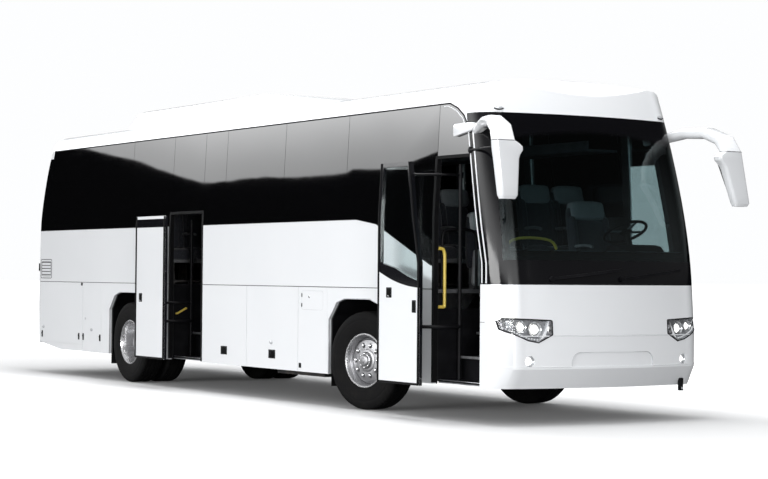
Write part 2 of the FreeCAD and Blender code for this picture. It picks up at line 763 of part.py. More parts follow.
# Structure under the floor
def chassis():
    pieces = []
    for word, low, high in (("front", "bay_front_x", "nose_x - front_rail_end"),
                            ("rear", "tail_x + rear_rail_end", "bay_rear_x - bulkhead")):
        for side_word, side in SIDES.items():
            y = span(side, "rail_spacing / 2 - rail_width / 2", "rail_spacing / 2 + rail_width / 2")
            pieces.append(box(f"{word}_rail_{side_word}", (low, high), y, ("rail_bottom", "rail_top")))
        y = ("-rail_spacing / 2", "rail_spacing / 2")
        for number in range(3):
            at = f"{low} + rail_width + ({high} - ({low}) - 3 * rail_width) * {number} / 2"
            pieces.append(box(f"{word}_cross_{number}", (at, f"{at} + rail_width"), y,
                              ("rail_bottom + rail_width", "rail_top - rail_width")))
    for word, side in SIDES.items():
        pieces.append(box(f"jack_pad_{word}", ("jack_pad_x - jack_pad_half", "jack_pad_x + jack_pad_half"),
                          span(side, "rail_spacing / 2 - jack_pad_half", "rail_spacing / 2 + jack_pad_half"),
                          ("rail_bottom - sheet_thickness", "rail_bottom")))
    keep("chassis_frame", fuse("chassis_frame", *pieces))


def floors():
    """Saloon floor with its riser at the cab, and the lower platform of the cab."""
    wide = ("-inner_half", "inner_half")
    plate = box("floor_plate", ("rear_join_x", "floor_end_x"), wide, ("floor_bottom", "seam_height"))
    platform = box("platform", ("floor_end_x + hinge_gap", "door_front_x"), ("-step_inner", "inner_half"),
                   ("platform_height - floor_thickness", "platform_height"))
    riser = box("riser", ("floor_end_x - sheet_thickness", "floor_end_x"), ("-step_inner", "inner_half"),
                ("platform_height - floor_thickness", "seam_height"))
    well = box("mid_well_space", ("mid_door_rear_x", "mid_door_front_x"), ("-inner_half", "-mid_step_inner"),
               ("bay_floor_height", "seam_height + wall"))
    keep("saloon_floor", cut("saloon_floor", fuse("saloon_floor_plates", plate, platform, riser), well))


def step_outline(sill, rise, inner):
    """Cross-section of a folded plate of three steps, from the sill inwards and up."""
    thick = "sheet_thickness"
    levels = [f"{sill} + {number} * {rise}" for number in range(3)]
    edges = ["inner_half", f"{inner} + 2 * step_depth", f"{inner} + step_depth", inner]
    top = []
    for number, level in enumerate(levels):
        top += [(f"-({edges[number]})", level), (f"-({edges[number + 1]})", level)]
    under = [(f"-({edges[3]})", f"{levels[2]} - {thick}")]
    for number in (2, 1):
        under.append((f"-({edges[number]}) + {thick}", f"{levels[number]} - {thick}"))
        under.append((f"-({edges[number]}) + {thick}", f"{levels[number - 1]} - {thick}"))
    under.append((f"-({edges[0]})", f"{levels[0]} - {thick}"))
    return top + under


def stairs():
    """Folded steps inside both doors, each with cheek plates and a top riser."""
    thick = "sheet_thickness"
    low = f"door_sill - {thick}"
    front = pad("front_steps", "YZ_Plane", step_outline("door_sill", "step_rise", "step_inner"),
                f"door_rear_x - {thick}", "door_front_x")
    front_cheek = box("front_cheek", (f"door_rear_x - {thick}", "door_rear_x"), ("-inner_half", "-step_inner"),
                      (low, "platform_height"))
    front_riser = box("front_riser", (f"door_rear_x - {thick}", "door_front_x"),
                      (f"-step_inner - {thick}", "-step_inner"),
                      (f"door_sill + 2 * step_rise - {thick}", "platform_height"))
    mid = pad("mid_steps", "YZ_Plane", step_outline("door_sill", "mid_step_rise", "mid_step_inner"),
              "mid_door_rear_x", "mid_door_front_x")
    rear_cheek = box("mid_cheek_rear", ("mid_door_rear_x", f"mid_door_rear_x + {thick}"),
                     ("-inner_half", "-mid_step_inner"), (low, "seam_height"))
    ahead_cheek = box("mid_cheek_front", (f"mid_door_front_x - {thick}", "mid_door_front_x"),
                      ("-inner_half", "-mid_step_inner"), (low, "seam_height"))
    mid_riser = box("mid_riser", ("mid_door_rear_x", "mid_door_front_x"),
                    (f"-mid_step_inner - {thick}", "-mid_step_inner"),
                    (f"door_sill + 2 * mid_step_rise - {thick}", "seam_height"))
    keep("stairwells", fuse("stairwells", front, front_cheek, front_riser, mid, rear_cheek, ahead_cheek, mid_riser))


def luggage_bay():
    wide = ("-inner_half", "inner_half")
    under = "bay_floor_height - sheet_thickness"
    tray = box("bay_tray", ("bay_rear_x - bulkhead", "bay_front_x"), wide, (under, "bay_floor_height"))
    rear = box("bay_rear", ("bay_rear_x - bulkhead", "bay_rear_x"), wide, (under, "floor_bottom"))
    front = box("bay_front", ("bay_front_x - bulkhead", "bay_front_x"), wide, (under, "floor_bottom"))
    well = box("bay_well", ("mid_door_rear_x", "mid_door_front_x"), ("-inner_half", "-mid_step_inner"),
               ("skirt_height", "seam_height"))
    keep("luggage_bay", cut("luggage_bay", fuse("bay_plates", tray, rear, front), well))


def wheel_housings():
    pieces = []
    outline = []
    for grow in (0, 1):
        loop = []
        for sign, corner in ((-1, 0), (-1, 1), (-1, 2), (1, 2), (1, 1), (1, 0)):
            across = ("housing_half", "housing_half", "housing_half - 220")[corner]
            up = ("420", "1000", "floor_bottom - 50")[corner]
            trim = f"{grow} * sheet_thickness"
            lift = "0" if corner == 0 else trim
            loop.append((f"{sign} * ({across} - {trim})", f"{up} - {lift}"))
        outline.append(loop)
    points = outline[0] + outline[1][::-1]
    for axle_word, axle in (("front", "front_axle_x"), ("rear", "rear_axle_x")):
        for side_word, side in SIDES.items():
            shell = pad(f"housing_{axle_word}_{side_word}", "XZ_Plane", points,
                        *span(side, "housing_inner", "inner_half"))
            pieces.append(place(shell, axle))
    keep("wheel_housings", fuse("wheel_housings", *pieces))


# Axles, knuckles and wheels
def axles():
    beam = box("front_beam", ("front_axle_x - 45", "front_axle_x + 45"), ("-kingpin_y", "kingpin_y"),
               ("tyre_radius - 60", "tyre_radius + 40"))
    pieces = [beam]
    for word, side in SIDES.items():
        y = sided(side, "kingpin_y")
        pieces.append(cylinder(f"kingpin_boss_{word}", "38", "140", "front_axle_x", y, "tyre_radius - 70"))
        pieces.append(cylinder(f"kingpin_{word}", "kingpin_radius", "240", "front_axle_x", y, "tyre_radius - 120"))
        pieces.append(box(f"spring_seat_front_{word}", ("front_axle_x - 90", "front_axle_x + 90"),
                          span(side, "rail_spacing / 2 - 80", "rail_spacing / 2 + 80"),
                          ("tyre_radius + 30", "tyre_radius + 70")))
    keep("front_axle", fuse("front_axle", *pieces))
    along = Vector(0, 1, 0)
    tube = cylinder("rear_tube", "70", "2 * (track_half - twin_spacing - 190)", "rear_axle_x",
                    "-(track_half - twin_spacing - 190)", "tyre_radius", along)
    spindle = cylinder("rear_spindle", "spindle_radius", "2 * track_half", "rear_axle_x", "-track_half",
                       "tyre_radius", along)
    drive = turned("final_drive", [("-150", "0"), ("-150", "110"), ("-60", "190"), ("60", "190"),
                                   ("150", "110"), ("150", "0")])
    place(drive, "rear_axle_x", "0", "tyre_radius")
    pieces = [tube, spindle, drive]
    for word, side in SIDES.items():
        y = span(side, "rail_spacing / 2 - 50", "rail_spacing / 2 + 50")
        pieces.append(box(f"spring_beam_{word}", ("rear_axle_x - 560", "rear_axle_x + 560"), y,
                          ("tyre_radius + 10", "tyre_radius + 70")))
    keep("rear_axle", fuse("rear_axle", *pieces))
    springs = []
    for word, side in SIDES.items():
        y = sided(side, "rail_spacing / 2")
        for name, x in (("front", "front_axle_x"), ("rear_a", "rear_axle_x - 450"), ("rear_b", "rear_axle_x + 450")):
            springs.append(cylinder(f"spring_{name}_{word}", "105", "rail_bottom - tyre_radius - 70", x, y,
                                    "tyre_radius + 70"))
    keep("air_springs", fuse("air_springs", *springs))


def steered(thing, word, side):
    """Stands a piece on its kingpin, turned as the front wheels stand in the picture."""
    return place(thing, "front_axle_x", sided(side, "kingpin_y"), "tyre_radius", "steer_rest")


def knuckle(word, side):
    ears = [box(f"ear_{level}_{word}", ("-45", "45"), span(side, "-45", "85"), (low, high))
            for level, low, high in (("low", "-115", "-75"), ("high", "75", "115"))]
    web = box(f"knuckle_web_{word}", ("-45", "45"), span(side, "50", "85"), ("-115", "115"))
    spindle = cylinder(f"spindle_{word}", "spindle_radius", "kingpin_offset + 90 - 60", "0", sided(side, "60"), "0",
                       Vector(0, side, 0))
    arm = box(f"steering_arm_{word}", ("-200", "-40"), span(side, "-45", "-15"), ("-115", "-90"))
    bore = cylinder(f"kingpin_bore_{word}", "kingpin_radius + running_clearance", "300", "0", "0", "-150")
    body = cut(f"knuckle_{word}", fuse(f"knuckle_{word}_solid", *ears, web, spindle, arm), bore)
    keep(f"knuckle_{word}", steered(body, word, side))


def tyre_outline(side, centre, full=True):
    middle = [("-tyre_half_width", "bulge_radius")] if full else []
    points = [("-tread_half_width", "rim_radius")] + middle
    points += [("-tread_half_width", "tyre_radius"), ("tread_half_width", "tyre_radius")]
    points += [("tyre_half_width", "bulge_radius")] if full else []
    points += [("tread_half_width", "rim_radius")]
    return [(sided(side, f"{centre} + ({y})"), r) for y, r in points]


def wheels():
    bore = "spindle_radius + running_clearance"
    for word, side in SIDES.items():
        knuckle(word, side)
        tyre = turned(f"front_tyre_{word}", tyre_outline(side, "kingpin_offset"))
        keep(f"front_tyre_{word}", steered(tyre, word, side))
        rim = [("-rim_half_width", "rim_radius"), ("rim_half_width", "rim_radius"),
               ("rim_half_width", "rim_radius - 14"), ("75", "rim_radius - 26"), ("95", "165"), ("95", "120"),
               ("150", "105"), ("150", "0"), ("95", "0"), ("95", bore), ("-100", bore), ("-100", "240"),
               ("-rim_half_width", "rim_radius - 22")]
        points = [(sided(side, f"kingpin_offset + ({y})"), r) for y, r in rim]
        keep(f"front_wheel_{word}", steered(turned(f"front_wheel_{word}", points), word, side))
        outer = turned(f"rear_tyre_outer_{word}", tyre_outline(side, "track_half"))
        inner = turned(f"rear_tyre_inner_{word}", tyre_outline(side, "track_half - twin_spacing", False))
        for ring in (outer, inner):
            place(ring, "rear_axle_x", "0", "tyre_radius")
        keep(f"rear_tyres_{word}", fuse(f"rear_tyres_{word}", outer, inner))
        gap = "twin_spacing"
        dual = [(f"-{gap} - rim_half_width", "rim_radius"), ("rim_half_width", "rim_radius"),
                ("rim_half_width", "rim_radius - 14"), ("-110", "rim_radius - 26"), ("-140", "165"),
                ("-140", "130"), ("60", "115"), ("60", "0"), ("10", "0"), ("10", bore),
                (f"-{gap} - 60", bore), (f"-{gap} - 60", "240"), (f"-{gap} - rim_half_width", "rim_radius - 22")]
        points = [(sided(side, f"track_half + ({y})"), r) for y, r in dual]
        wheel = turned(f"rear_wheel_{word}", points)
        keep(f"rear_wheel_{word}", place(wheel, "rear_axle_x", "0", "tyre_radius"))


# Doors on swinging arms
def pivot_y(closed, length):
    """Distance of a door post from the centre plane, so that the closed leaf lies flush."""
    reach = getattr(size, length)
    drop = reach * math.sin(math.radians(getattr(size, closed)))
    return size.half_width - size.door_thickness - size.bracket_depth - drop


def swan_neck(name, post_x, length, closed, swing, level, low, high):
    """Door post and curved arm in the open pose, with a pin at the leaf's bracket."""
    reach = getattr(size, length)
    post_y = -pivot_y(closed, length)
    angle = math.radians(getattr(size, closed) + getattr(size, swing))
    toward = Vector(math.cos(angle), -math.sin(angle), 0)
    square = Vector(-toward.y, toward.x, 0)
    start = Vector(post_x, post_y, level)
    end = start + toward * reach
    middle = start + toward * (reach / 2) + square * (reach * 0.28)
    path = Part.Wire([Part.Arc(start, middle, end).toShape()])
    tangent = path.Edges[0].tangentAt(path.Edges[0].FirstParameter)
    ring = Part.Wire([Part.makeCircle(18, start, tangent)])
    tube = path.makePipeShell([ring], True, False)
    post = Part.makeCylinder(20, high - low, Vector(post_x, post_y, low))
    pin = Part.makeCylinder(12, 110, end - Vector(0, 0, 55))
    eye = Part.makeCylinder(26, 40, end - Vector(0, 0, 20))
    shape = post.fuse([tube, pin, eye])
    return keep(name, feature(name, shape)), end


def leaf_offset(length, closed, swing):
    """How far an open leaf stands from its closed place."""
    reach = getattr(size, length)
    first = math.radians(getattr(size, closed))
    last = first + math.radians(getattr(size, swing))
    return Vector(reach * (math.cos(last) - math.cos(first)), -reach * (math.sin(last) - math.sin(first)), 0)


def front_door():
    level = 920
    post_x = size.door_rear_x + 70
    arm, pin = swan_neck("front_door_arm", post_x, "front_arm_length", "front_arm_closed", "front_arm_swing",
                         level, size.door_sill + size.hinge_gap, size.door_head - 60)
    shift = leaf_offset("front_arm_length", "front_arm_closed", "front_arm_swing")
    outer = size.half_width
    depth = size.door_thickness
    low = size.skirt_height - 10
    high = size.door_head - 40
    section = [(-outer, low), (-outer, size.belt_height), (-side_width(high), high),
               (-side_width(high) + depth, high), (-outer + depth, size.belt_height), (-outer + depth, low)]
    start_x = size.door_rear_x + size.door_gap
    loop = [(start_x, y, z) for y, z in section]
    edges = [line(loop[i - 1], loop[i]) for i in range(len(loop))]
    plate = prism(edges, (size.door_width, 0, 0))
    gap = size.flap_gap
    ahead = ahead_of_pillar(0, size.glass_top)
    ahead.translate(Vector(-gap, 0, 0))
    plate = plate.cut(ahead)
    frame = 45
    window = [(start_x + frame, 1560), (start_x + 330, 1500), (start_x + 560, 1420),
              (pillar_x(0) - gap - frame, 1380), (pillar_x(0) - gap - frame, size.door_corner_height),
              (pillar_x(high) - gap - frame, high - frame), (start_x + frame, high - frame)]
    loop = [(x, -outer - depth, z) for x, z in window]
    edges = [line(loop[i - 1], loop[i]) for i in range(len(loop))]
    opening = prism(edges, (0, 4 * depth, 0))
    glass = plate.common(opening)
    thin = section_volume(depth / 2 + size.glass_thickness / 2, size.front_axle_x, size.nose_x)
    thick = section_volume(depth / 2 - size.glass_thickness / 2, size.front_axle_x, size.nose_x)
    glass = glass.common(thick.cut(thin))
    plate = plate.cut(opening)
    leaf = with_bracket(plate, pin - shift)
    for name, shape in (("front_door", leaf), ("front_door_glass", glass)):
        shape.translate(shift)
        keep(name, feature(name, shape))


def with_bracket(plate, pin):
    """Adds the two lugs that hold the arm's pin on the inner face of a closed leaf."""
    for low, high in ((-55, -22), (22, 55)):
        lug = block((pin.x - 28, pin.x + 28), (-size.half_width + size.door_thickness, pin.y + 26),
                    (pin.z + low, pin.z + high))
        bore = Part.makeCylinder(12 + size.running_clearance, high - low, pin + Vector(0, 0, low))
        plate = plate.fuse(lug).cut(bore)
    return plate.removeSplitter()


def mid_door():
    level = 830
    post_x = size.mid_door_rear_x + 70
    arm, pin = swan_neck("mid_door_arm", post_x, "mid_arm_length", "mid_arm_closed", "mid_arm_swing",
                         level, size.door_sill + size.hinge_gap, size.mid_door_head - 60)
    shift = leaf_offset("mid_arm_length", "mid_arm_closed", "mid_arm_swing")
    outer = size.half_width
    depth = size.door_thickness
    low = size.skirt_height + 10
    high = size.mid_door_head - 20
    section = [(-outer, low), (-outer, size.belt_height), (-side_width(high), high),
               (-side_width(high) + depth, high), (-outer + depth, size.belt_height), (-outer + depth, low)]
    start_x = size.mid_door_rear_x + size.door_gap
    loop = [(start_x, y, z) for y, z in section]
    edges = [line(loop[i - 1], loop[i]) for i in range(len(loop))]
    plate = prism(edges, (size.mid_door_width - size.door_gap - size.flap_gap, 0, 0))
    leaf = with_bracket(plate, pin - shift)
    leaf.translate(shift)
    keep("mid_door", feature("mid_door", leaf))


# Cabin fittings
def seats():
    """Passenger seats in pairs, all rows of one side profile, and the driver's seat."""
    profile = [("-150", "0"), ("150", "0"), ("150", "seat_height - 120"), ("230", "seat_height - 120"),
               ("230", "seat_height"), ("-140", "seat_height"), ("-230", "seat_back_height"),
               ("-320", "seat_back_height"), ("-250", "seat_height - 120"), ("-150", "seat_height - 120")]
    pieces = []
    rows = int(size.seat_rows)
    for side_word, side in SIDES.items():
        for row in range(rows):
            x = f"floor_end_x - 420 - seat_pitch * {row}"
            at = size.floor_end_x - 420 - size.seat_pitch * row
            over_well = size.mid_door_rear_x - 200 < at < size.mid_door_front_x + 300
            if side < 0 and over_well:
                continue
            pair = pad(f"seat_{side_word}_{row}", "XZ_Plane", profile,
                       *span(side, "inner_half - 30 - seat_width", "inner_half - 30"))
            pieces.append(place(pair, x, "0", "seam_height"))
    driver = pad("driver_seat", "XZ_Plane", profile, "370", "870")
    pieces.append(place(driver, "floor_end_x + 320", "0", "platform_height"))
    keep("seats", fuse("seats", *pieces))


def racks():
    """Overhead racks on brackets at the window pillars, with a lip along the aisle side."""
    pieces = []
    wall_face = "inner_half - tumblehome * ({z} - belt_height) / (glass_top - belt_height)"
    low = "rack_height"
    high = "rack_height + rack_thickness"
    lip = "rack_height + rack_lip"
    for word, side in SIDES.items():
        foot = wall_face.format(z=low)
        aisle = "inner_half - rack_depth"
        points = [(sided(side, foot), low), (sided(side, aisle), low), (sided(side, aisle), lip),
                  (sided(side, f"{aisle} + rack_thickness"), lip), (sided(side, f"{aisle} + rack_thickness"), high),
                  (sided(side, wall_face.format(z=high)), high)]
        pieces.append(pad(f"rack_{word}", "YZ_Plane", points, "rear_join_x + rear_top_lean + wall", "floor_end_x - 100"))
    keep("luggage_racks", fuse("luggage_racks", *pieces))


def tube(points, radius):
    """A bent tube through points, its bends rounded."""
    corners = [Vector(*p) for p in points]
    edges = []
    last = corners[0]
    for i in range(1, len(corners) - 1):
        before = corners[i] - corners[i - 1]
        after = corners[i + 1] - corners[i]
        back = 0.4 * min(before.Length, after.Length)
        start = corners[i] - before.normalize() * back
        end = corners[i] + after.normalize() * back
        bend = (start + end) * 0.5
        half_sine = (end - start).Length / 2 / back
        middle = corners[i] + (bend - corners[i]) / (1 + half_sine)
        edges.append(line(last, start))
        edges.append(arc(start, middle, end))
        last = end
    edges.append(line(last, corners[-1]))
    path = Part.Wire(edges)
    direction = corners[1] - corners[0]
    ring = Part.Wire([Part.makeCircle(radius, corners[0], direction)])
    return path.makePipeShell([ring], True, False)


def handrails():
    x = size.floor_end_x - 40
    y = -size.inner_half + 60
    foot = size.seam_height + size.hinge_gap
    front = tube([(x, y, foot), (x, y, 1900), (x, -700, 1900), (x, -700, foot)], 17)
    rear = size.mid_door_front_x + 40
    mid = tube([(rear, y, foot), (rear, y, 1900), (rear, -500, 1900), (rear, -500, foot)], 17)
    keep("handrails", feature("handrails", Part.makeCompound([front, mid])))


def dashboard():
    profile = [("nose_x - 720", "platform_height"), ("nose_x - 300", "platform_height"),
               ("nose_x - 170", "1480"), ("nose_x - 200", "1620"), ("nose_x - 420", "1690"),
               ("nose_x - 640", "1600")]
    block_body = pad("dashboard_block", "XZ_Plane", profile, "-inner_half", "inner_half")
    document.recompute()
    room = front_volume(size.wall + 5)
    inside = room[0].fuse(room[1])
    shape = block_body.Shape.common(inside)
    well = block((size.door_rear_x, size.door_front_x + 60), (-size.half_width, -size.step_inner),
                 (size.skirt_height, size.roof_height))
    shape = shape.cut(well)
    solid = max(shape.Solids, key=lambda s: s.Volume)
    hub = steering_place()
    down = Vector(math.sin(math.radians(28)), 0, -math.cos(math.radians(28)))
    column = Part.makeCylinder(32, 520, hub + down * 30, down)
    document.removeObject(block_body.Name)
    keep("dashboard", feature("dashboard", solid.fuse(column).removeSplitter()))


def steering_place():
    return Vector(size.nose_x - 620, 620, 1890)


def steering_wheel():
    hub = steering_place()
    rim = Part.makeTorus(225, 15)
    spokes = Part.makeBox(2 * 222, 40, 16, Vector(-222, -20, -8))
    spoke = Part.makeBox(40, 222, 16, Vector(-20, -222, -8))
    centre = Part.makeCylinder(55, 30, Vector(0, 0, -29))
    shape = rim.fuse([spokes, spoke, centre]).removeSplitter()
    shape.Placement = FreeCAD.Placement(hub, FreeCAD.Rotation(Vector(0, 1, 0), -28))
    keep("steering_wheel", feature("steering_wheel", shape))


def mirrors():
    solids = []
    for side in (-1, 1):
        head_x = size.nose_x + size.mirror_reach - 90
        y = side * 1454
        head = Part.makeBox(110, 240, 540, Vector(head_x - 20, y - 120, 2150))
        head = head.makeFillet(35, head.Edges)
        root = Vector(size.front_axle_x + 2080, side * (side_width(2880) - 60), 2880)
        path = [root, Vector(root.x + 260, side * 1330, 2900), Vector(head_x + 35, side * 1440, 2850),
                Vector(head_x + 35, side * 1454, 2650)]
        arm = tube([tuple(p) for p in path], 38)
        solids.append(head.fuse(arm).removeSplitter())
    outer = front_volume(0)[1]
    solids = [solid.cut(outer) for solid in solids]
    solids = [max(solid.Solids, key=lambda s: s.Volume) for solid in solids]
    keep("mirrors", feature("mirrors", Part.makeCompound(solids)))


def nose_surface_x(height, y):
    """X of the glass face at a height and a distance from the centre plane."""
    nose = size.nose_x - screen_setback(height)
    corner = side_width(height) - size.corner_inset
    return nose - size.crown_depth * (y / corner) ** 2


def wipers():
    solids = []
    for start_y, end_y in ((-700, 100), (120, 920)):
        low = size.screen_bottom + 60
        high = size.screen_bottom + 150
        points = []
        for step in range(5):
            share = step / 4
            y = start_y + (end_y - start_y) * share
            z = low + (high - low) * share
            points.append(Vector(nose_surface_x(z, y) + 30, y, z))
        blade = Part.makeLoft([Part.Wire(Part.makePolygon([p + Vector(-12, 0, -14), p + Vector(12, 0, -14),
                                                           p + Vector(12, 0, 14), p + Vector(-12, 0, 14),
                                                           p + Vector(-12, 0, -14)]))
                               for p in points], True, True)
        foot = points[0]
        boss = Part.makeCylinder(25, 50, foot + Vector(-46, 0, 0), Vector(1, 0, 0))
        solids.append(blade.fuse(boss).removeSplitter())
    glass = front_volume(0)[1]
    solids = [solid.cut(glass) for solid in solids]
    keep("wipers", feature("wipers", Part.makeCompound([max(s.Solids, key=lambda t: t.Volume) for s in solids])))


# Machinery
def machinery():
    engine = box("engine", ("tail_x + rear_rail_end + 2 * rail_width", "tail_x + rear_rail_end + 1340"),
                 ("-rail_spacing / 2 + rail_width / 2", "rail_spacing / 2 - rail_width / 2"),
                 ("480", "rail_top + 200"))
    keep("engine", engine)


def air_conditioner():
    points = [("front_axle_x - air_unit_setback - air_unit_length", "roof_height - wall"),
              ("front_axle_x - air_unit_setback - air_unit_length + 60", "air_unit_top - 60"),
              ("front_axle_x - air_unit_setback - air_unit_length + 300", "air_unit_top"),
              ("front_axle_x - air_unit_setback - 500", "air_unit_top"),
              ("front_axle_x - air_unit_setback", "roof_height - wall")]
    block_body = pad("air_unit_block", "XZ_Plane", points, "-air_unit_half", "air_unit_half")
    document.recompute()
    shape = block_body.Shape.cut(section_volume(0, size.tail_x, size.nose_x))
    document.removeObject(block_body.Name)
    keep("air_conditioner", feature("air_conditioner", shape))


def fuel_tank():
    tank = box("fuel_tank", ("front_axle_x - 2450", "front_axle_x - 1350"), ("-850", "850"),
               ("270", "bay_floor_height - sheet_thickness"))
    keep("fuel_tank", tank)


def build():
    nose_panels()
    rear_pane = tail_panels()
    roof_panel()
    keep("windows_right", side_wall("right", -1))
    keep("windows_left", side_wall("left", 1))
    keep("rear_window", feature("rear_window", rear_pane))
    flap("luggage_flap_right_rear", -1, "flap_1_x", "flap_2_x")
    flap("luggage_flap_right_front", -1, "flap_2_x", "flap_3_x")
    flap("service_flap_right", -1, "flap_3_x", "flap_end_x")
    flap("engine_flap_right_rear", -1, "rear_flap_a_x", "rear_flap_b_x", "skirt_height + rear_tail_rise")
    flap("engine_flap_right_front", -1, "rear_flap_b_x", "rear_flap_end_x")
    flap("luggage_flap_left_rear", 1, "flap_1_x", "flap_2_x")
    flap("luggage_flap_left_front", 1, "flap_2_x", "flap_end_x")
    flap("engine_flap_left", 1, "rear_flap_a_x", "rear_flap_end_x", "skirt_height + rear_tail_rise")
    chassis()
    floors()
    stairs()
    luggage_bay()
    wheel_housings()
    axles()
    wheels()
    front_door()
    mid_door()
    seats()
    racks()
    handrails()
    dashboard()
    steering_wheel()
    mirrors()
    wipers()
    machinery()
    air_conditioner()
    fuel_tank()


build()
document.recompute()
for thing in document.Objects:
    if "Invalid" in thing.State or "Error" in thing.State:
        raise RuntimeError(f"{thing.Name} failed: {thing.State}")
for name, thing in parts.items():
    if thing.Shape.isNull() or not thing.Shape.isValid():
        raise RuntimeError(f"{name} has no valid shape")
os.makedirs("parts", exist_ok=True)
for name, thing in parts.items():
    thing.Shape.exportStep(f"parts/{name}.step")
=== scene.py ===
import json
import math

import bmesh
import bpy
from mathutils import Matrix, Vector
from mathutils.bvhtree import BVHTree


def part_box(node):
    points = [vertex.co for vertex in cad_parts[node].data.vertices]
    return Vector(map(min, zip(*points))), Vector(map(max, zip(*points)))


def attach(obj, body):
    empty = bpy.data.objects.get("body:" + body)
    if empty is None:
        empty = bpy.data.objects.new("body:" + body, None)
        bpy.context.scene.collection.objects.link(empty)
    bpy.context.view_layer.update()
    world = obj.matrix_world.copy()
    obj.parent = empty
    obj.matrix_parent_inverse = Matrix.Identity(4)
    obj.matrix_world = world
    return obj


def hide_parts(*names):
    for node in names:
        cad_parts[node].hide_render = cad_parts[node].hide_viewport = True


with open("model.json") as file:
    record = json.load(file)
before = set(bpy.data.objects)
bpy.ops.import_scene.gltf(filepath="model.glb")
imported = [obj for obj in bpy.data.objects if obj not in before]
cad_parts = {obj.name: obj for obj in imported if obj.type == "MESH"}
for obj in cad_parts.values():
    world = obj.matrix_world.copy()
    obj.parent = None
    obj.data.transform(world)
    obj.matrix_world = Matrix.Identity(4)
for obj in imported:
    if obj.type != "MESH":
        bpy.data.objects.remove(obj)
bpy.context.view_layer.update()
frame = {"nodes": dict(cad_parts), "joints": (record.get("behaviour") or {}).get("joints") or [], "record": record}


# Sizes of the coach in metres and degrees
def middle(node):
    low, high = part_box(node)
    return (low + high) / 2


JOINTS = {joint["name"]: joint for joint in frame["joints"]}
FRONT_AXLE = middle("front_axle").x
REAR_AXLE = middle("rear_axle").x
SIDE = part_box("side_wall_left")[1].y
BELT = 2.02
GLASS_TOP = 3.14
TUMBLEHOME = 0.06
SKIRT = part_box("side_wall_left")[0].z
DOOR_REAR = FRONT_AXLE + 1.48
DOOR_FRONT = DOOR_REAR + 0.81
DOOR_CORNER = 1.55
PILLAR_LEAN = 0.36
SCREEN_BOTTOM = 1.35
MID_REAR = FRONT_AXLE - 4.54
MID_FRONT = MID_REAR + 0.87
FLOOR = 1.295
PLATFORM = 1.10
SILL = 0.388
BUMPER_TOP = 0.86
FRONT_DOOR_HEAD = 2.60
MID_DOOR_HEAD = 2.17
SILL_INSET = 1.19
NOSE = FRONT_AXLE + 2.8
TAIL = REAR_AXLE - 3.13
SIDES = {"right": -1, "left": 1}


def side_y(height):
    """Distance of the side wall's skin from the centre plane at a height."""
    return SIDE - TUMBLEHOME * max(0.0, height - BELT) / (GLASS_TOP - BELT)


def pillar_x(height):
    """The slanting edge where the windscreen corner meets the side wall."""
    return DOOR_FRONT - PILLAR_LEAN * max(0.0, height - DOOR_CORNER) / (GLASS_TOP - DOOR_CORNER)


# Shader values that can be worked with as numbers
class Value:
    def __init__(self, finish, socket):
        self.finish = finish
        self.socket = socket

    def combine(self, operation, first, second):
        return self.finish.node("ShaderNodeMath", {"operation": operation}, {0: first, 1: second})

    def __add__(self, other):
        return self.combine("ADD", self, other)

    def __radd__(self, other):
        return self.combine("ADD", other, self)

    def __sub__(self, other):
        return self.combine("SUBTRACT", self, other)

    def __rsub__(self, other):
        return self.combine("SUBTRACT", other, self)

    def __mul__(self, other):
        return self.combine("MULTIPLY", self, other)

    def __rmul__(self, other):
        return self.combine("MULTIPLY", other, self)

    def __truediv__(self, other):
        return self.combine("DIVIDE", self, other)

    def __gt__(self, other):
        return self.combine("GREATER_THAN", self, other)

    def __lt__(self, other):
        return self.combine("LESS_THAN", self, other)

    def size(self):
        return self.combine("ABSOLUTE", self, 0)

    def at_least(self, other):
        return self.combine("MAXIMUM", self, other)

    def rise(self, low, high):
        """A soft step from 0 at one value to 1 at another."""
        inputs = {"Value": self, "From Min": low, "From Max": high}
        return self.finish.node("ShaderNodeMapRange", {"interpolation_type": "SMOOTHSTEP"}, inputs)


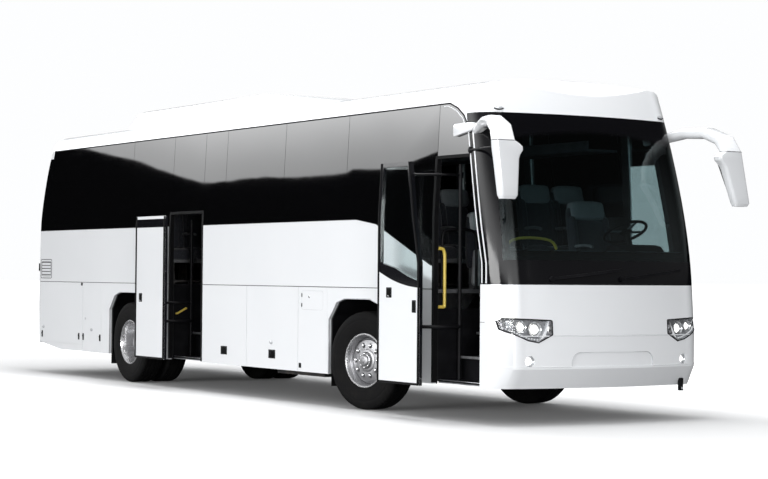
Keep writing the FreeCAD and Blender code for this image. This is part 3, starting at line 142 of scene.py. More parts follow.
class Finish:
    """A material worked out from object coordinates, or the light of a given world."""

    def __init__(self, name, world=None):
        self.holder = world or bpy.data.materials.new(name)
        self.holder.use_nodes = True
        self.tree = self.holder.node_tree
        self.tree.nodes.clear()
        self.out = self.tree.nodes.new("ShaderNodeOutputWorld" if world else "ShaderNodeOutputMaterial")

    def node(self, kind, settings, inputs, output=0):
        made = self.tree.nodes.new(kind)
        for name, value in settings.items():
            setattr(made, name, value)
        for key, value in inputs.items():
            self.feed(made.inputs[key], value)
        return Value(self, made.outputs[output])

    def feed(self, socket, value):
        if isinstance(value, Value):
            self.tree.links.new(value.socket, socket)
        elif value is not None:
            if hasattr(value, "__len__") and len(value) == 3 and socket.type == "RGBA":
                value = (*value, 1)
            socket.default_value = value

    def spot(self, kind="Object"):
        return self.node("ShaderNodeTexCoord", {}, {}, kind)

    def place(self, kind="Object"):
        """Coordinates of a kind and their three parts."""
        spot = self.spot(kind)
        parts = self.tree.nodes.new("ShaderNodeSeparateXYZ")
        self.tree.links.new(spot.socket, parts.inputs[0])
        return spot, *(Value(self, parts.outputs[i]) for i in range(3))

    def noise(self, spot, scale, detail=3.0, roughness=0.55, stretch=None):
        if stretch:
            spot = self.node("ShaderNodeMapping", {}, {"Vector": spot, "Scale": stretch})
        inputs = {"Vector": spot, "Scale": scale, "Detail": detail, "Roughness": roughness}
        return self.node("ShaderNodeTexNoise", {}, inputs)

    def mix(self, first, second, factor):
        """Blends two colours."""
        inputs = {"Factor": factor, 6: first, 7: second}
        return self.node("ShaderNodeMix", {"data_type": "RGBA"}, inputs, 2)

    def bump(self, height, strength, distance):
        return self.node("ShaderNodeBump", {}, {"Height": height, "Strength": strength, "Distance": distance})

    def skin(self, **sockets):
        """The main shader, its sockets named with underscores."""
        inputs = {name.replace("_", " "): value for name, value in sockets.items()}
        return self.node("ShaderNodeBsdfPrincipled", {}, inputs)

    def blend(self, first, second, factor):
        """Blends two shaders."""
        return self.node("ShaderNodeMixShader", {}, {0: factor, 1: first, 2: second})

    def done(self, shader):
        self.tree.links.new(shader.socket, self.out.inputs["Surface"])
        return self.holder


# Materials
def coach_paint(name="coach_paint", lined=False, blackened=None):
    """White enamel under clear coat. Walls have a grey lining inside, a door a black upper part."""
    finish = Finish(name)
    spot, x, y, z = finish.place()
    cloud = finish.noise(spot, 1.3, 4.0)
    dust = finish.noise(spot, 9.0, 5.0, 0.65)
    low = 1 - z.rise(0.34, 0.95)
    white = finish.mix((0.84, 0.86, 0.885), (0.885, 0.9, 0.92), cloud)
    colour = finish.mix(white, (0.60, 0.59, 0.57), low * dust * 0.03)
    peel = finish.noise(spot, 260.0, 2.0)
    wave = finish.noise(spot, 2.2, 1.0)
    rough = 0.22 + low * dust * 0.06
    coat = 1 - low * dust * 0.08
    if lined:
        lean = z.rise(BELT, GLASS_TOP) * TUMBLEHOME
        inside = 1 - (y.size() + lean).rise(SIDE - 0.034, SIDE - 0.028)
        colour = finish.mix(colour, (0.03, 0.03, 0.032), inside)
        rough = rough + inside * 0.4
        coat = coat - inside
    if blackened:
        black = blackened(x, y, z)
        colour = finish.mix(colour, (0.006, 0.006, 0.008), black)
        rough = rough - black * 0.14
    return finish.done(finish.skin(Base_Color=colour, Roughness=rough, Coat_Weight=coat, Coat_Roughness=0.04,
                                   Normal=finish.bump(peel * 0.35 + wave, 0.12, 0.004)))


def door_edge(along):
    """Height of the black upper part's curved lower edge on the front door, along the leaf from its rear."""
    return 1.474 - along * 0.40 + along * along * 0.24


def behind_face(node, y, z):
    """1 on the edges and the inner face of an open leaf, 0 on its outer face."""
    lean = (z - BELT).at_least(0) * (TUMBLEHOME / (GLASS_TOP - BELT))
    return (y - lean).rise(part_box(node)[0].y + 0.004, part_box(node)[0].y + 0.007)


def front_door_black(x, y, z):
    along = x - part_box("front_door")[0].x
    upper = (z - door_edge(along)).rise(-0.002, 0.002)
    return upper.at_least(behind_face("front_door", y, z))


def mid_door_black(x, y, z):
    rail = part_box("mid_door")[1].z - 0.036
    upper = (z - 2.0).rise(-0.002, 0.002) * (1 - (z - rail).rise(-0.002, 0.002))
    return upper.at_least(behind_face("mid_door", y, z))


def smoked_glass(name="smoked_glass", cornered=False):
    """Nearly black glass with a mirror-like face. A side band is clear by the driver, white in its corner."""
    finish = Finish(name)
    spot, x, y, z = finish.place()
    smear = finish.noise(spot, 3.0, 4.0)
    wave = finish.noise(spot, 0.9, 0.0)
    edge = finish.noise(spot, 40.0, 3.0)
    colour = finish.mix((0.0008, 0.0008, 0.001), (0.002, 0.0021, 0.0025), edge)
    glass = finish.skin(Base_Color=colour, Roughness=0.01 + smear * 0.02, IOR=2.1,
                        Normal=finish.bump(wave, 0.03, 0.01))
    if not cornered:
        return finish.done(glass)
    white = finish.skin(Base_Color=finish.mix((0.84, 0.86, 0.885), (0.885, 0.9, 0.92), smear), Roughness=0.22,
                        Coat_Weight=1.0, Coat_Roughness=0.04)
    see = finish.node("ShaderNodeBsdfTransparent", {}, {"Color": (0.86, 0.9, 0.9)})
    shine = finish.node("ShaderNodeBsdfGlossy", {}, {"Color": (0.9, 0.95, 0.95), "Roughness": 0.01})
    clear = (y > 0) * (x > DOOR_REAR + 0.02) * (1 - z.rise(2.60, 2.61))
    glass = finish.blend(glass, finish.blend(see, shine, 0.06), clear)
    past = (x - (FRONT_AXLE + 1.60)).at_least(0)
    corner = (z + past * past * 1.4).rise(GLASS_TOP, GLASS_TOP + 0.004)
    return finish.done(finish.blend(glass, white, corner))


def screen_glass(name, tint, framed):
    """Clear tinted glass. A windscreen also has its printed black border."""
    finish = Finish(name)
    spot, _, y, z = finish.place()
    smear = finish.noise(spot, 4.0, 4.0)
    see = finish.node("ShaderNodeBsdfTransparent", {}, {"Color": tint})
    shine = finish.node("ShaderNodeBsdfGlossy", {}, {"Color": (0.9, 0.95, 0.95), "Roughness": 0.01})
    facing_away = finish.node("ShaderNodeLayerWeight", {}, {"Blend": 0.5}, "Facing")
    gloss = 0.03 + facing_away.combine("POWER", facing_away, 4) * 0.6
    pane = finish.blend(see, shine, gloss)
    if not framed:
        return finish.done(pane)
    black = finish.skin(Base_Color=(0.003, 0.003, 0.004), Roughness=0.08 + smear * 0.08, IOR=1.35)
    below = 1 - z.rise(1.583, 1.59)
    above = (z + y * y * 0.10).rise(2.83, 2.90)
    corner = (y.size() + (z - SCREEN_BOTTOM) * 0.03).rise(1.17, 1.18)
    return finish.done(finish.blend(pane, black, below.at_least(above).at_least(corner)))


def moulded(name, colour, rough=0.5, grain=500.0, depth=0.25, metallic=0.0, worn=None, shine=0.5):
    """Moulded plastic, rubber or coated sheet with a fine grain and uneven wear."""
    finish = Finish(name)
    spot = finish.spot()
    patch = finish.noise(spot, 6.0, 5.0)
    fine = finish.noise(spot, grain, 2.0)
    lighter = worn or tuple(min(1.0, c * 1.5 + 0.002) for c in colour)
    shade = finish.mix(colour, lighter, patch.rise(0.35, 0.75))
    return finish.done(finish.skin(Base_Color=shade, Roughness=rough + (patch - 0.5) * 0.2,
                                   Metallic=metallic, Specular_IOR_Level=shine,
                                   Normal=finish.bump(fine, depth, 0.0006)))


def tyre_rubber():
    """Black rubber, browner in patches with road dust."""
    finish = Finish("tyre_rubber")
    spot = finish.spot()
    patch = finish.noise(spot, 7.0, 6.0, 0.7)
    fine = finish.noise(spot, 240.0, 3.0)
    shade = finish.mix((0.003, 0.003, 0.0033), (0.009, 0.0085, 0.008), patch.rise(0.4, 0.8))
    return finish.done(finish.skin(Base_Color=shade, Roughness=0.7 + patch * 0.2, Specular_IOR_Level=0.12,
                                   Normal=finish.bump(fine, 0.35, 0.001)))


def polished_steel(name, colour, rough):
    """Bright wheel steel with turning marks and faint brake dust."""
    finish = Finish(name)
    spot = finish.spot()
    patch = finish.noise(spot, 14.0, 5.0, 0.65)
    mark = finish.noise(spot, 60.0, 3.0, stretch=(1.0, 14.0, 1.0))
    shade = finish.mix(colour, tuple(c * 0.45 for c in colour), patch.rise(0.45, 0.85) * 0.6)
    return finish.done(finish.skin(Base_Color=shade, Metallic=0.95, Roughness=rough + patch * 0.18,
                                   Normal=finish.bump(mark, 0.12, 0.0008)))


def seat_cloth():
    """Woven grey-blue seat cloth with a small fleck."""
    finish = Finish("seat_cloth")
    spot = finish.spot()
    warp = finish.node("ShaderNodeTexWave", {"bands_direction": "Z"}, {"Vector": spot, "Scale": 130.0})
    weft = finish.node("ShaderNodeTexWave", {"bands_direction": "Y"}, {"Vector": spot, "Scale": 130.0})
    fleck = finish.node("ShaderNodeTexVoronoi", {}, {"Vector": spot, "Scale": 55.0})
    worn = finish.noise(spot, 5.0, 4.0)
    ground = finish.mix((0.018, 0.020, 0.028), (0.034, 0.036, 0.046), worn)
    shade = finish.mix(ground, (0.14, 0.145, 0.16), (1 - fleck.rise(0.12, 0.3)) * 0.5)
    return finish.done(finish.skin(Base_Color=shade, Roughness=0.9, Sheen_Weight=0.3,
                                   Normal=finish.bump(warp + weft, 0.35, 0.0008)))


def headrest_cloth():
    """Pale washable headrest cover."""
    finish = Finish("headrest_cloth")
    spot = finish.spot()
    fold = finish.noise(spot, 12.0, 3.0, stretch=(1.0, 4.0, 1.0))
    thread = finish.noise(spot, 420.0, 1.0)
    # Lighter on the crests of the folds and darker in their hollows: painted shade of the folds
    shade = finish.mix((0.20, 0.21, 0.225), (0.27, 0.28, 0.295), fold)
    return finish.done(finish.skin(Base_Color=shade, Roughness=0.85,
                                   Normal=finish.bump(fold + thread * 0.3, 0.4, 0.004)))


def floor_vinyl():
    """Dark flecked non-slip floor covering."""
    finish = Finish("floor_vinyl")
    spot = finish.spot()
    fleck = finish.node("ShaderNodeTexVoronoi", {}, {"Vector": spot, "Scale": 160.0})
    stain = finish.noise(spot, 3.0, 4.0)
    ground = finish.mix((0.05, 0.052, 0.058), (0.09, 0.09, 0.095), stain)
    shade = finish.mix(ground, (0.26, 0.27, 0.29), 1 - fleck.rise(0.08, 0.2))
    return finish.done(finish.skin(Base_Color=shade, Roughness=0.5 + stain * 0.2,
                                   Normal=finish.bump(fleck, 0.3, 0.001)))


def lamp_light(name, colour, glow):
    """A lit bulb or reflector face."""
    finish = Finish(name)
    spot = finish.spot()
    flute = finish.noise(spot, 90.0, 1.0, stretch=(1.0, 3.0, 1.0))
    shade = finish.mix(colour, tuple(c * 0.75 for c in colour), flute)
    return finish.done(finish.skin(Base_Color=shade, Roughness=0.15, Emission_Color=shade,
                                   Emission_Strength=glow))


def lamp_lens(name, colour, see_through):
    """Ribbed transparent lens."""
    finish = Finish(name)
    spot = finish.spot()
    rib = finish.node("ShaderNodeTexWave", {"bands_direction": "Y"}, {"Vector": spot, "Scale": 45.0})
    shade = finish.mix(colour, tuple(c * 0.6 for c in colour), rib)
    body = finish.skin(Base_Color=shade, Roughness=0.06, Coat_Weight=1.0,
                       Normal=finish.bump(rib, 0.25, 0.002))
    see = finish.node("ShaderNodeBsdfTransparent", {}, {"Color": tuple(0.55 + 0.45 * c for c in colour)})
    return finish.done(finish.blend(body, see, see_through))


PAINT = coach_paint()
WALL_PAINT = coach_paint("wall_paint", lined=True)
DOOR_PAINT = coach_paint("door_paint", blackened=front_door_black)
MID_DOOR_PAINT = coach_paint("mid_door_paint", blackened=mid_door_black)
SMOKED = smoked_glass()
SIDE_GLASS = smoked_glass("side_glass", cornered=True)
SCREEN = screen_glass("screen_glass", (0.50, 0.58, 0.59), True)
PANE = screen_glass("door_pane", (0.90, 0.94, 0.94), False)
CLEAR = lamp_lens("lamp_cover", (0.92, 0.94, 0.96), 0.86)
BLACK = moulded("black_trim", (0.005, 0.005, 0.006), 0.45, shine=0.12)
SEAL = moulded("rubber_seal", (0.003, 0.003, 0.0035), 0.65, 300.0, shine=0.12)
GREY = moulded("grey_plastic", (0.16, 0.165, 0.175), 0.55)
PALE = moulded("pale_plastic", (0.55, 0.56, 0.58), 0.5)
LINING = moulded("lining_cloth", (0.09, 0.09, 0.10), 0.85, 600.0, 0.5)
CHASSIS = moulded("chassis_coat", (0.02, 0.02, 0.022), 0.55, 180.0, 0.5, worn=(0.07, 0.06, 0.052))
CAST = moulded("cast_metal", (0.12, 0.125, 0.13), 0.55, 120.0, 0.7, 0.6, (0.09, 0.07, 0.055))
SHEET = moulded("bay_sheet", (0.26, 0.27, 0.28), 0.45, 200.0, 0.3, 0.5)
YELLOW = moulded("rail_yellow", (0.86, 0.64, 0.12), 0.3, 300.0, 0.15, worn=(0.78, 0.57, 0.11))
ALUMINIUM = moulded("brushed_aluminium", (0.62, 0.63, 0.65), 0.32, 200.0, 0.2, 0.9)
TYRE = tyre_rubber()
RIM = polished_steel("polished_rim", (0.78, 0.78, 0.79), 0.16)
DISC = polished_steel("wheel_disc", (0.30, 0.30, 0.31), 0.32)
CHROME = polished_steel("chrome", (0.85, 0.86, 0.87), 0.06)
CLOTH = seat_cloth()
COVER = headrest_cloth()
VINYL = floor_vinyl()
LIT = lamp_light("lit_lamp", (0.62, 0.63, 0.64), 0.55)
BULB = lamp_light("lit_bulb", (1.0, 0.98, 0.94), 2.5)
AMBER = lamp_lens("amber_lens", (0.9, 0.33, 0.02), 0.15)
LAMP_HOUSE = polished_steel("lamp_house", (0.30, 0.30, 0.32), 0.2)
RED = lamp_lens("red_lens", (0.62, 0.012, 0.012), 0.12)
WHITE_LENS = lamp_lens("white_lens", (0.8, 0.82, 0.84), 0.3)
MIRROR = polished_steel("mirror_face", (0.88, 0.9, 0.92), 0.02)
EDGE_GREY = moulded("edge_grey", (0.42, 0.43, 0.45), 0.5)
# Near-black matte: dark joints and grips, and painted shade set behind openings where a real hollow would be
# shaded
DARK_HOLE = moulded("dark_hole", (0.003, 0.003, 0.003), 0.8, shine=0.08)

NODE_MATERIALS = {
    "body_paint": PAINT, "dark_glazing": SMOKED, "clear_glass": SCREEN, "lamp_glass": CLEAR,
    "lamp_red": RED, "black_trim": BLACK, "chassis_black": CHASSIS, "rubber_bellows": SEAL,
    "cast_engine": CAST, "grey_fabric": CLOTH, "floor_vinyl": VINYL, "bay_sheet": SHEET,
    "rail_yellow": YELLOW, "rack_grey": LINING, "tyre_rubber": TYRE, "polished_rim": RIM,
}
OWN_MATERIALS = {
    "front_door_glass": PANE, "side_wall_left": WALL_PAINT, "side_wall_right": WALL_PAINT,
    "windows_left": SIDE_GLASS, "windows_right": SIDE_GLASS, "stairwells": BLACK,
    "front_door": DOOR_PAINT, "mid_door": MID_DOOR_PAINT,
}


def dress_nodes():
    """Gives each carried-over part its material, and rounds the shading of its curved faces."""
    slots = {row["node"]: row["material_slot"] for row in frame["record"]["subparts"]}
    for name, thing in frame["nodes"].items():
        thing.data.materials.clear()
        thing.data.materials.append(OWN_MATERIALS.get(name, NODE_MATERIALS[slots[name]]))
        thing.data.polygons.foreach_set("use_smooth", [True] * len(thing.data.polygons))
        weld = thing.modifiers.new("weld", "WELD")
        weld.merge_threshold = 0.00002
        split = thing.modifiers.new("split", "EDGE_SPLIT")
        split.split_angle = math.radians(24)


# Shapes made with mesh operators
def outwards(shape):
    """Turns all faces to the outside."""
    bmesh.ops.recalc_face_normals(shape, faces=shape.faces[:])
    return shape


def softened(shape, edges, bevel, segments=2):
    if bevel:
        bmesh.ops.bevel(shape, geom=edges, offset=bevel, segments=segments, profile=0.5, affect="EDGES",
                        material=-1)
    return shape


def block(low, high, bevel=0.0, segments=2):
    """A block between two corners, its edges rounded."""
    shape = bmesh.new()
    low, high = Vector(low), Vector(high)
    made = bmesh.ops.create_cube(shape, size=1.0)
    bmesh.ops.scale(shape, verts=made["verts"], vec=high - low)
    bmesh.ops.translate(shape, verts=made["verts"], vec=(low + high) / 2)
    return softened(shape, shape.edges[:], bevel, segments)


def rod(start, end, radius, sides=16, end_radius=None, bevel=0.0):
    """A round bar between two points."""
    shape = bmesh.new()
    start, end = Vector(start), Vector(end)
    along = end - start
    bmesh.ops.create_cone(shape, cap_ends=True, segments=sides, radius1=radius,
                          radius2=radius if end_radius is None else end_radius, depth=along.length)
    turn = along.to_track_quat("Z", "Y").to_matrix().to_4x4()
    bmesh.ops.transform(shape, verts=shape.verts[:], matrix=Matrix.Translation((start + end) / 2) @ turn)
    rims = [edge for edge in shape.edges if len(edge.link_faces) == 2
            and edge.calc_face_angle(0) > math.radians(60)]
    return softened(shape, rims, bevel)


def ball(centre, radii, sides=24):
    shape = bmesh.new()
    bmesh.ops.create_uvsphere(shape, u_segments=sides, v_segments=sides // 2, radius=1.0)
    bmesh.ops.scale(shape, verts=shape.verts[:], vec=radii)
    bmesh.ops.translate(shape, verts=shape.verts[:], vec=centre)
    return shape


def turned(profile, steps=64):
    """A profile of (offset along Y, radius) spun about the Y axis."""
    shape = bmesh.new()
    points = [shape.verts.new((radius, offset, 0.0)) for offset, radius in profile]
    edges = [shape.edges.new(pair) for pair in zip(points, points[1:])]
    bmesh.ops.spin(shape, geom=points + edges, cent=(0, 0, 0), axis=(0, 1, 0), angle=math.radians(360),
                   steps=steps, use_merge=True)
    bmesh.ops.remove_doubles(shape, verts=shape.verts[:], dist=0.00001)
    return outwards(shape)


def slab(outline, depth, bevel=0.0, segments=2):
    """A flat outline of points carried along a vector."""
    shape = bmesh.new()
    face = shape.faces.new([shape.verts.new(point) for point in outline])
    made = bmesh.ops.extrude_face_region(shape, geom=[face])
    moved = [item for item in made["geom"] if isinstance(item, bmesh.types.BMVert)]
    bmesh.ops.translate(shape, verts=moved, vec=depth)
    outwards(shape)
    return softened(shape, shape.edges[:], bevel, segments)


def pipe(points, radius, closed=False, curved=False, turns=4):
    """A tube along points."""
    data = bpy.data.curves.new("path", "CURVE")
    data.dimensions = "3D"
    data.bevel_depth = radius
    data.bevel_resolution = turns
    data.use_fill_caps = True
    line = data.splines.new("NURBS" if curved else "POLY")
    line.points.add(len(points) - 1)
    for spot, point in zip(line.points, points):
        spot.co = (*point, 1.0)
    line.use_cyclic_u = closed
    if curved:
        line.order_u = 3
        line.use_endpoint_u = not closed
        line.resolution_u = 6
    holder = bpy.data.objects.new("path", data)
    mesh = bpy.data.meshes.new_from_object(holder)
    shape = bmesh.new()
    shape.from_mesh(mesh)
    bpy.data.meshes.remove(mesh)
    bpy.data.objects.remove(holder)
    bpy.data.curves.remove(data)
    bmesh.ops.remove_doubles(shape, verts=shape.verts[:], dist=0.00001)
    return outwards(shape)


def cushion(low, high, crown, cuts=5, ease=3):
    """A foam pad: a block whose faces crown and whose edges are drawn in."""
    shape = block(low, high)
    low, high = Vector(low), Vector(high)
    bmesh.ops.subdivide_edges(shape, edges=shape.edges[:], cuts=cuts, use_grid_fill=True)
    centre, half = (low + high) / 2, (high - low) / 2
    for vert in shape.verts:
        share = [(vert.co[i] - centre[i]) / half[i] for i in range(3)]
        for i in range(3):
            if abs(share[i]) > 0.99:
                others = [share[j] for j in range(3) if j != i]
                vert.co[i] += math.copysign(crown, share[i]) * (1 - others[0] ** 2) * (1 - others[1] ** 2)
    for _ in range(ease):
        bmesh.ops.smooth_vert(shape, verts=shape.verts[:], factor=0.5, use_axis_x=True, use_axis_y=True,
                              use_axis_z=True)
    return shape


def put(name, data):
    """A new object in the scene."""
    thing = bpy.data.objects.new(name, data)
    bpy.context.scene.collection.objects.link(thing)
    return thing


class Piece:
    """A mesh put together from shapes, each in one of its materials."""

    def __init__(self, name, body, *materials):
        self.name = name
        self.body = body
        self.materials = materials
        self.mesh = bmesh.new()

    def add(self, shape, material=0, places=Matrix()):
        """Joins a shape in, at one place or at each of several."""
        part = bpy.data.meshes.new("shape")
        shape.to_mesh(part)
        shape.free()
        part.polygons.foreach_set("material_index", [material] * len(part.polygons))
        for place in (places,) if isinstance(places, Matrix) else places:
            copy = part.copy()
            copy.transform(place)
            self.mesh.from_mesh(copy)
            bpy.data.meshes.remove(copy)
        bpy.data.meshes.remove(part)
        return self

    def done(self, slot, *replaced, angle=32.0):
        mesh = bpy.data.meshes.new(self.name)
        self.mesh.to_mesh(mesh)
        self.mesh.free()
        for material in self.materials:
            mesh.materials.append(material)
        mesh.polygons.foreach_set("use_smooth", [True] * len(mesh.polygons))
        mesh.set_sharp_from_angle(angle=math.radians(angle))
        thing = put(self.name, mesh)
        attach(thing, self.body)
        if replaced:
            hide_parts(*replaced)
        return thing


TREES = {}
UP = Vector((0, 0, 1))


def skin_point(nodes, start, direction, lift=0.0):
    """Where a line first meets the given nodes, lifted off their skin."""
    key = tuple(nodes)
    if key not in TREES:
        points, faces = [], []
        for name in nodes:
            mesh = frame["nodes"][name].data
            first = len(points)
            points += [vert.co.copy() for vert in mesh.vertices]
            faces += [[first + i for i in face.vertices] for face in mesh.polygons]
        TREES[key] = BVHTree.FromPolygons(points, faces)
    direction = Vector(direction).normalized()
    spot, normal, _, _ = TREES[key].ray_cast(Vector(start), direction)
    if spot is None:
        raise ValueError(f"nothing of {nodes} lies before {tuple(start)}")
    if normal.dot(direction) > 0:
        normal = -normal
    return spot + normal * lift, normal


NOSE_SKIN = ("front_mask", "front_bumper", "front_lamps", "windscreen", "windscreen_frame", "front_cap")


def nose_point(y, z, lift=0.0):
    """A point on the front of the coach."""
    return skin_point(NOSE_SKIN, (NOSE + 1, y, z), (-1, 0, 0), lift)


def nose_place(y, z, lift=0.0):
    """Stands a shape made about its own X axis on the front of the coach."""
    return facing(*nose_point(y, z, lift))


def facing(spot, normal, up=(0, 0, 1)):
    """Turns a shape made about its own X axis, Z up, to stand on a skin point."""
    ahead = Vector(normal).normalized()
    across = Vector(up).cross(ahead).normalized()
    return Matrix.Translation(spot) @ Matrix((ahead, across, ahead.cross(across))).transposed().to_4x4()


def spun(profile, steps=32):
    """A profile of (reach along X, radius) spun about the X axis."""
    shape = turned([(-reach, radius) for reach, radius in profile], steps)
    quarter = Matrix.Rotation(math.radians(90), 3, "Z")
    bmesh.ops.rotate(shape, verts=shape.verts[:], cent=(0, 0, 0), matrix=quarter)
    return outwards(shape)


def rounded_outline(points, radius, steps=4):
    """Corners of a flat outline replaced by small arcs."""
    points = [Vector(point) for point in points]
    made = []
    for i, corner in enumerate(points):
        before = (points[i - 1] - corner).normalized()
        after = (points[(i + 1) % len(points)] - corner).normalized()
        half = before.angle(after) / 2
        back = radius / math.tan(half)
        middle_point = corner + (before + after).normalized() * radius / math.sin(half)
        start = corner + before * back - middle_point
        end = corner + after * back - middle_point
        for k in range(steps + 1):
            made.append(middle_point + start.slerp(end, k / steps).normalized() * radius)
    return made


def arc(radius, start, sweep, steps, whole=True):
    """Points on an arc about the origin, as pairs. A closed loop leaves out its last point."""
    turns = [start + sweep * k / steps for k in range(steps + whole)]
    return [(radius * math.cos(turn), radius * math.sin(turn)) for turn in turns]


def fan(ring, hub):
    """A shell of triangles from a ring of points to a hub."""
    shape = bmesh.new()
    verts = [shape.verts.new(point) for point in ring]
    centre = shape.verts.new(hub)
    for i, vert in enumerate(verts):
        shape.faces.new((verts[i - 1], vert, centre))
    return outwards(shape)


# Wheels
TWIN = -0.333
NUT_RING = 0.1655


def spin_places(joint_name, outward):
    """Where a wheel modelled about the Y axis goes, its outer face towards the given side."""
    joint = JOINTS[joint_name]
    axis = Vector(joint["axis"]).normalized() * outward
    turn = Matrix((axis.cross(UP), axis, UP)).transposed().to_4x4()
    return Matrix.Translation(joint["pos_m"]) @ turn


def tyre_outline(radius=0.522):
    """Section of a ribbed road tyre: beads, bulged walls with raised rings, grooved tread."""
    right = [(0.118, 0.288), (0.128, 0.296), (0.133, 0.31), (0.1405, 0.345), (0.1452, 0.385), (0.1468, 0.418),
             (0.1468, 0.424), (0.1452, 0.428), (0.1452, 0.434), (0.1466, 0.438), (0.1438, 0.463),
             (0.138, 0.486), (0.131, 0.502), (0.121, 0.5135), (0.110, 0.5185)]
    for groove in (0.083, 0.031):
        right += [(groove + 0.0065, radius - 0.0008), (groove + 0.0042, radius - 0.013),
                  (groove - 0.0042, radius - 0.013), (groove - 0.0065, radius - 0.0006)]
    return right + [(-offset, reach) for offset, reach in right[::-1]]


def shoulder_notches(shape, steps):
    """Cuts short cross grooves into both shoulders of a spun tyre."""
    faces = []
    for face in shape.faces:
        centre = face.calc_center_median()
        radius = math.hypot(centre.x, centre.z)
        turn = round(math.degrees(math.atan2(centre.z, centre.x)) * steps / 360)
        if turn % 3 == 0 and 0.098 < abs(centre.y) < 0.126 and radius > 0.505:
            faces.append(face)
    bmesh.ops.inset_individual(shape, faces=faces, thickness=0.0015, depth=0.0)
    for face in faces:
        centre = face.calc_center_median()
        inward = Vector((centre.x, 0, centre.z)).normalized() * -0.007
        for vert in face.verts:
            vert.co += inward / 2


def tyres(steps=180):
    for word, side in SIDES.items():
        for axle, replaced, offsets in (("front", "tyre", (0.0,)), ("rear", "tyres", (0.0, TWIN))):
            piece = Piece(f"{axle}_tyre_dressed_{word}", f"{axle}_wheel_{word}", TYRE)
            place = spin_places(f"{axle}_wheel_{word}_spin", side)
            for offset in offsets:
                shape = turned(tyre_outline(), steps)
                if offset == 0.0:
                    shoulder_notches(shape, steps)
                piece.add(shape, 0, place @ Matrix.Translation((0, offset, 0)))
            piece.done("tyre_rubber", f"{axle}_{replaced}_{word}", angle=28.0)


def on_ring(radius, turn):
    return Vector((math.cos(turn), 0, math.sin(turn))) * radius


def holed_disc(inner, outer, front, back, hole_radius=0.0265, count=10, sides=16):
    """A wheel disc with a ring of round holes through it."""
    shape = bmesh.new()
    turns = [math.tau * i / count for i in range(count)]
    edges = []
    for turn in turns:
        ring = [shape.verts.new(on_ring(NUT_RING, turn) + on_ring(hole_radius, turn + math.tau * k / sides))
                for k in range(sides)]
        edges += [shape.edges.new((ring[k], ring[(k + 1) % sides])) for k in range(sides)]
    for radius in (inner, outer):
        made = bmesh.ops.create_circle(shape, cap_ends=False, segments=count * 8, radius=radius,
                                       matrix=Matrix.Rotation(math.radians(90), 4, "X"))
        edges += list({edge for vert in made["verts"] for edge in vert.link_edges})
    bmesh.ops.triangle_fill(shape, use_beauty=True, edges=edges)
    bad = []
    for face in shape.faces:
        spot = face.calc_center_median()
        near = min((spot - on_ring(NUT_RING, turn)).length for turn in turns)
        if near < hole_radius * 0.97 or spot.length < inner * 0.97:
            bad.append(face)
    bmesh.ops.delete(shape, geom=bad, context="FACES_ONLY")
    for vert in shape.verts:
        share = (math.hypot(vert.co.x, vert.co.z) - inner) / (outer - inner)
        vert.co.y = front + (back - front) * max(0.0, share) ** 2
    bmesh.ops.recalc_face_normals(shape, faces=shape.faces[:])
    if sum(face.normal.y for face in shape.faces) < 0:
        bmesh.ops.reverse_faces(shape, faces=shape.faces[:])
    bmesh.ops.solidify(shape, geom=shape.faces[:], thickness=0.012)
    return shape


# Sections of (offset outwards, radius), with steps and material
RIM_LIP = [(-0.130, 0.262), (-0.130, 0.286), (0.122, 0.286), (0.130, 0.289), (0.1335, 0.284), (0.1335, 0.276),
           (0.128, 0.270)]
# Sections in material 3 are near-black: the faces seen through the disc holes and the rear inner twin rim, painted
# shade of the wheel's inside
FRONT_SECTIONS = (
    (RIM_LIP + [(0.112, 0.266), (0.085, 0.256), (0.02, 0.250), (-0.09, 0.246), (-0.115, 0.254),
                (-0.130, 0.262)], 96, 0),
    ([(0.03, 0.249), (0.045, 0.238), (0.060, 0.226), (0.072, 0.216)], 96, 1),
    ([(0.071, 0.215), (0.055, 0.210), (0.052, 0.118), (0.080, 0.112)], 64, 3),
    ([(0.086, 0.122), (0.093, 0.118), (0.096, 0.110), (0.098, 0.092), (0.112, 0.084), (0.120, 0.078),
      (0.124, 0.066), (0.136, 0.060), (0.142, 0.050), (0.145, 0.036), (0.1455, 0.024), (0.149, 0.020),
      (0.1498, 0.012), (0.1498, 0.0)], 64, 1))
REAR_SECTIONS = (
    (RIM_LIP + [(0.110, 0.264), (0.075, 0.252), (0.060, 0.249), (-0.02, 0.246), (-0.055, 0.238),
                (-0.085, 0.226), (-0.108, 0.214)], 96, 0),
    ([(TWIN - 0.130, 0.264), (TWIN - 0.130, 0.286), (TWIN + 0.130, 0.286), (TWIN + 0.126, 0.268),
      (TWIN + 0.05, 0.252), (-0.16, 0.226), (-0.12, 0.214)], 96, 3),
    ([(-0.115, 0.212), (-0.15, 0.21), (-0.152, 0.12)], 64, 3),
    ([(-0.126, 0.122), (-0.118, 0.114), (-0.06, 0.110), (0.02, 0.104), (0.030, 0.098), (0.032, 0.074),
      (0.050, 0.068), (0.0565, 0.056), (0.0585, 0.03), (0.0588, 0.0)], 64, 1))
# Nuts, bolts and drum: count, part of a step turned, ring, ends, radius, sides, end radius, bevel, material
FRONT_STUDS = ((10, 0, NUT_RING, 0.054, 0.074, 0.021, 18, None, 0.002, 1),
               (10, 0, NUT_RING, 0.074, 0.098, 0.0155, 6, 0.0145, 0.0015, 2),
               (10, 0, NUT_RING, 0.096, 0.108, 0.010, 14, None, 0.001, 2),
               (8, 0, 0.072, 0.119, 0.130, 0.0075, 6, None, 0.001, 2),
               (1, 0, 0, -0.100, 0.055, 0.105, 40, None, 0.004, 3))
REAR_STUDS = ((10, 0, NUT_RING, -0.140, -0.122, 0.021, 18, None, 0.002, 1),
              (10, 0, NUT_RING, -0.122, -0.096, 0.0155, 6, 0.0145, 0.0015, 2),
              (10, 0.5, 0.086, 0.030, 0.041, 0.008, 6, None, 0.001, 2))


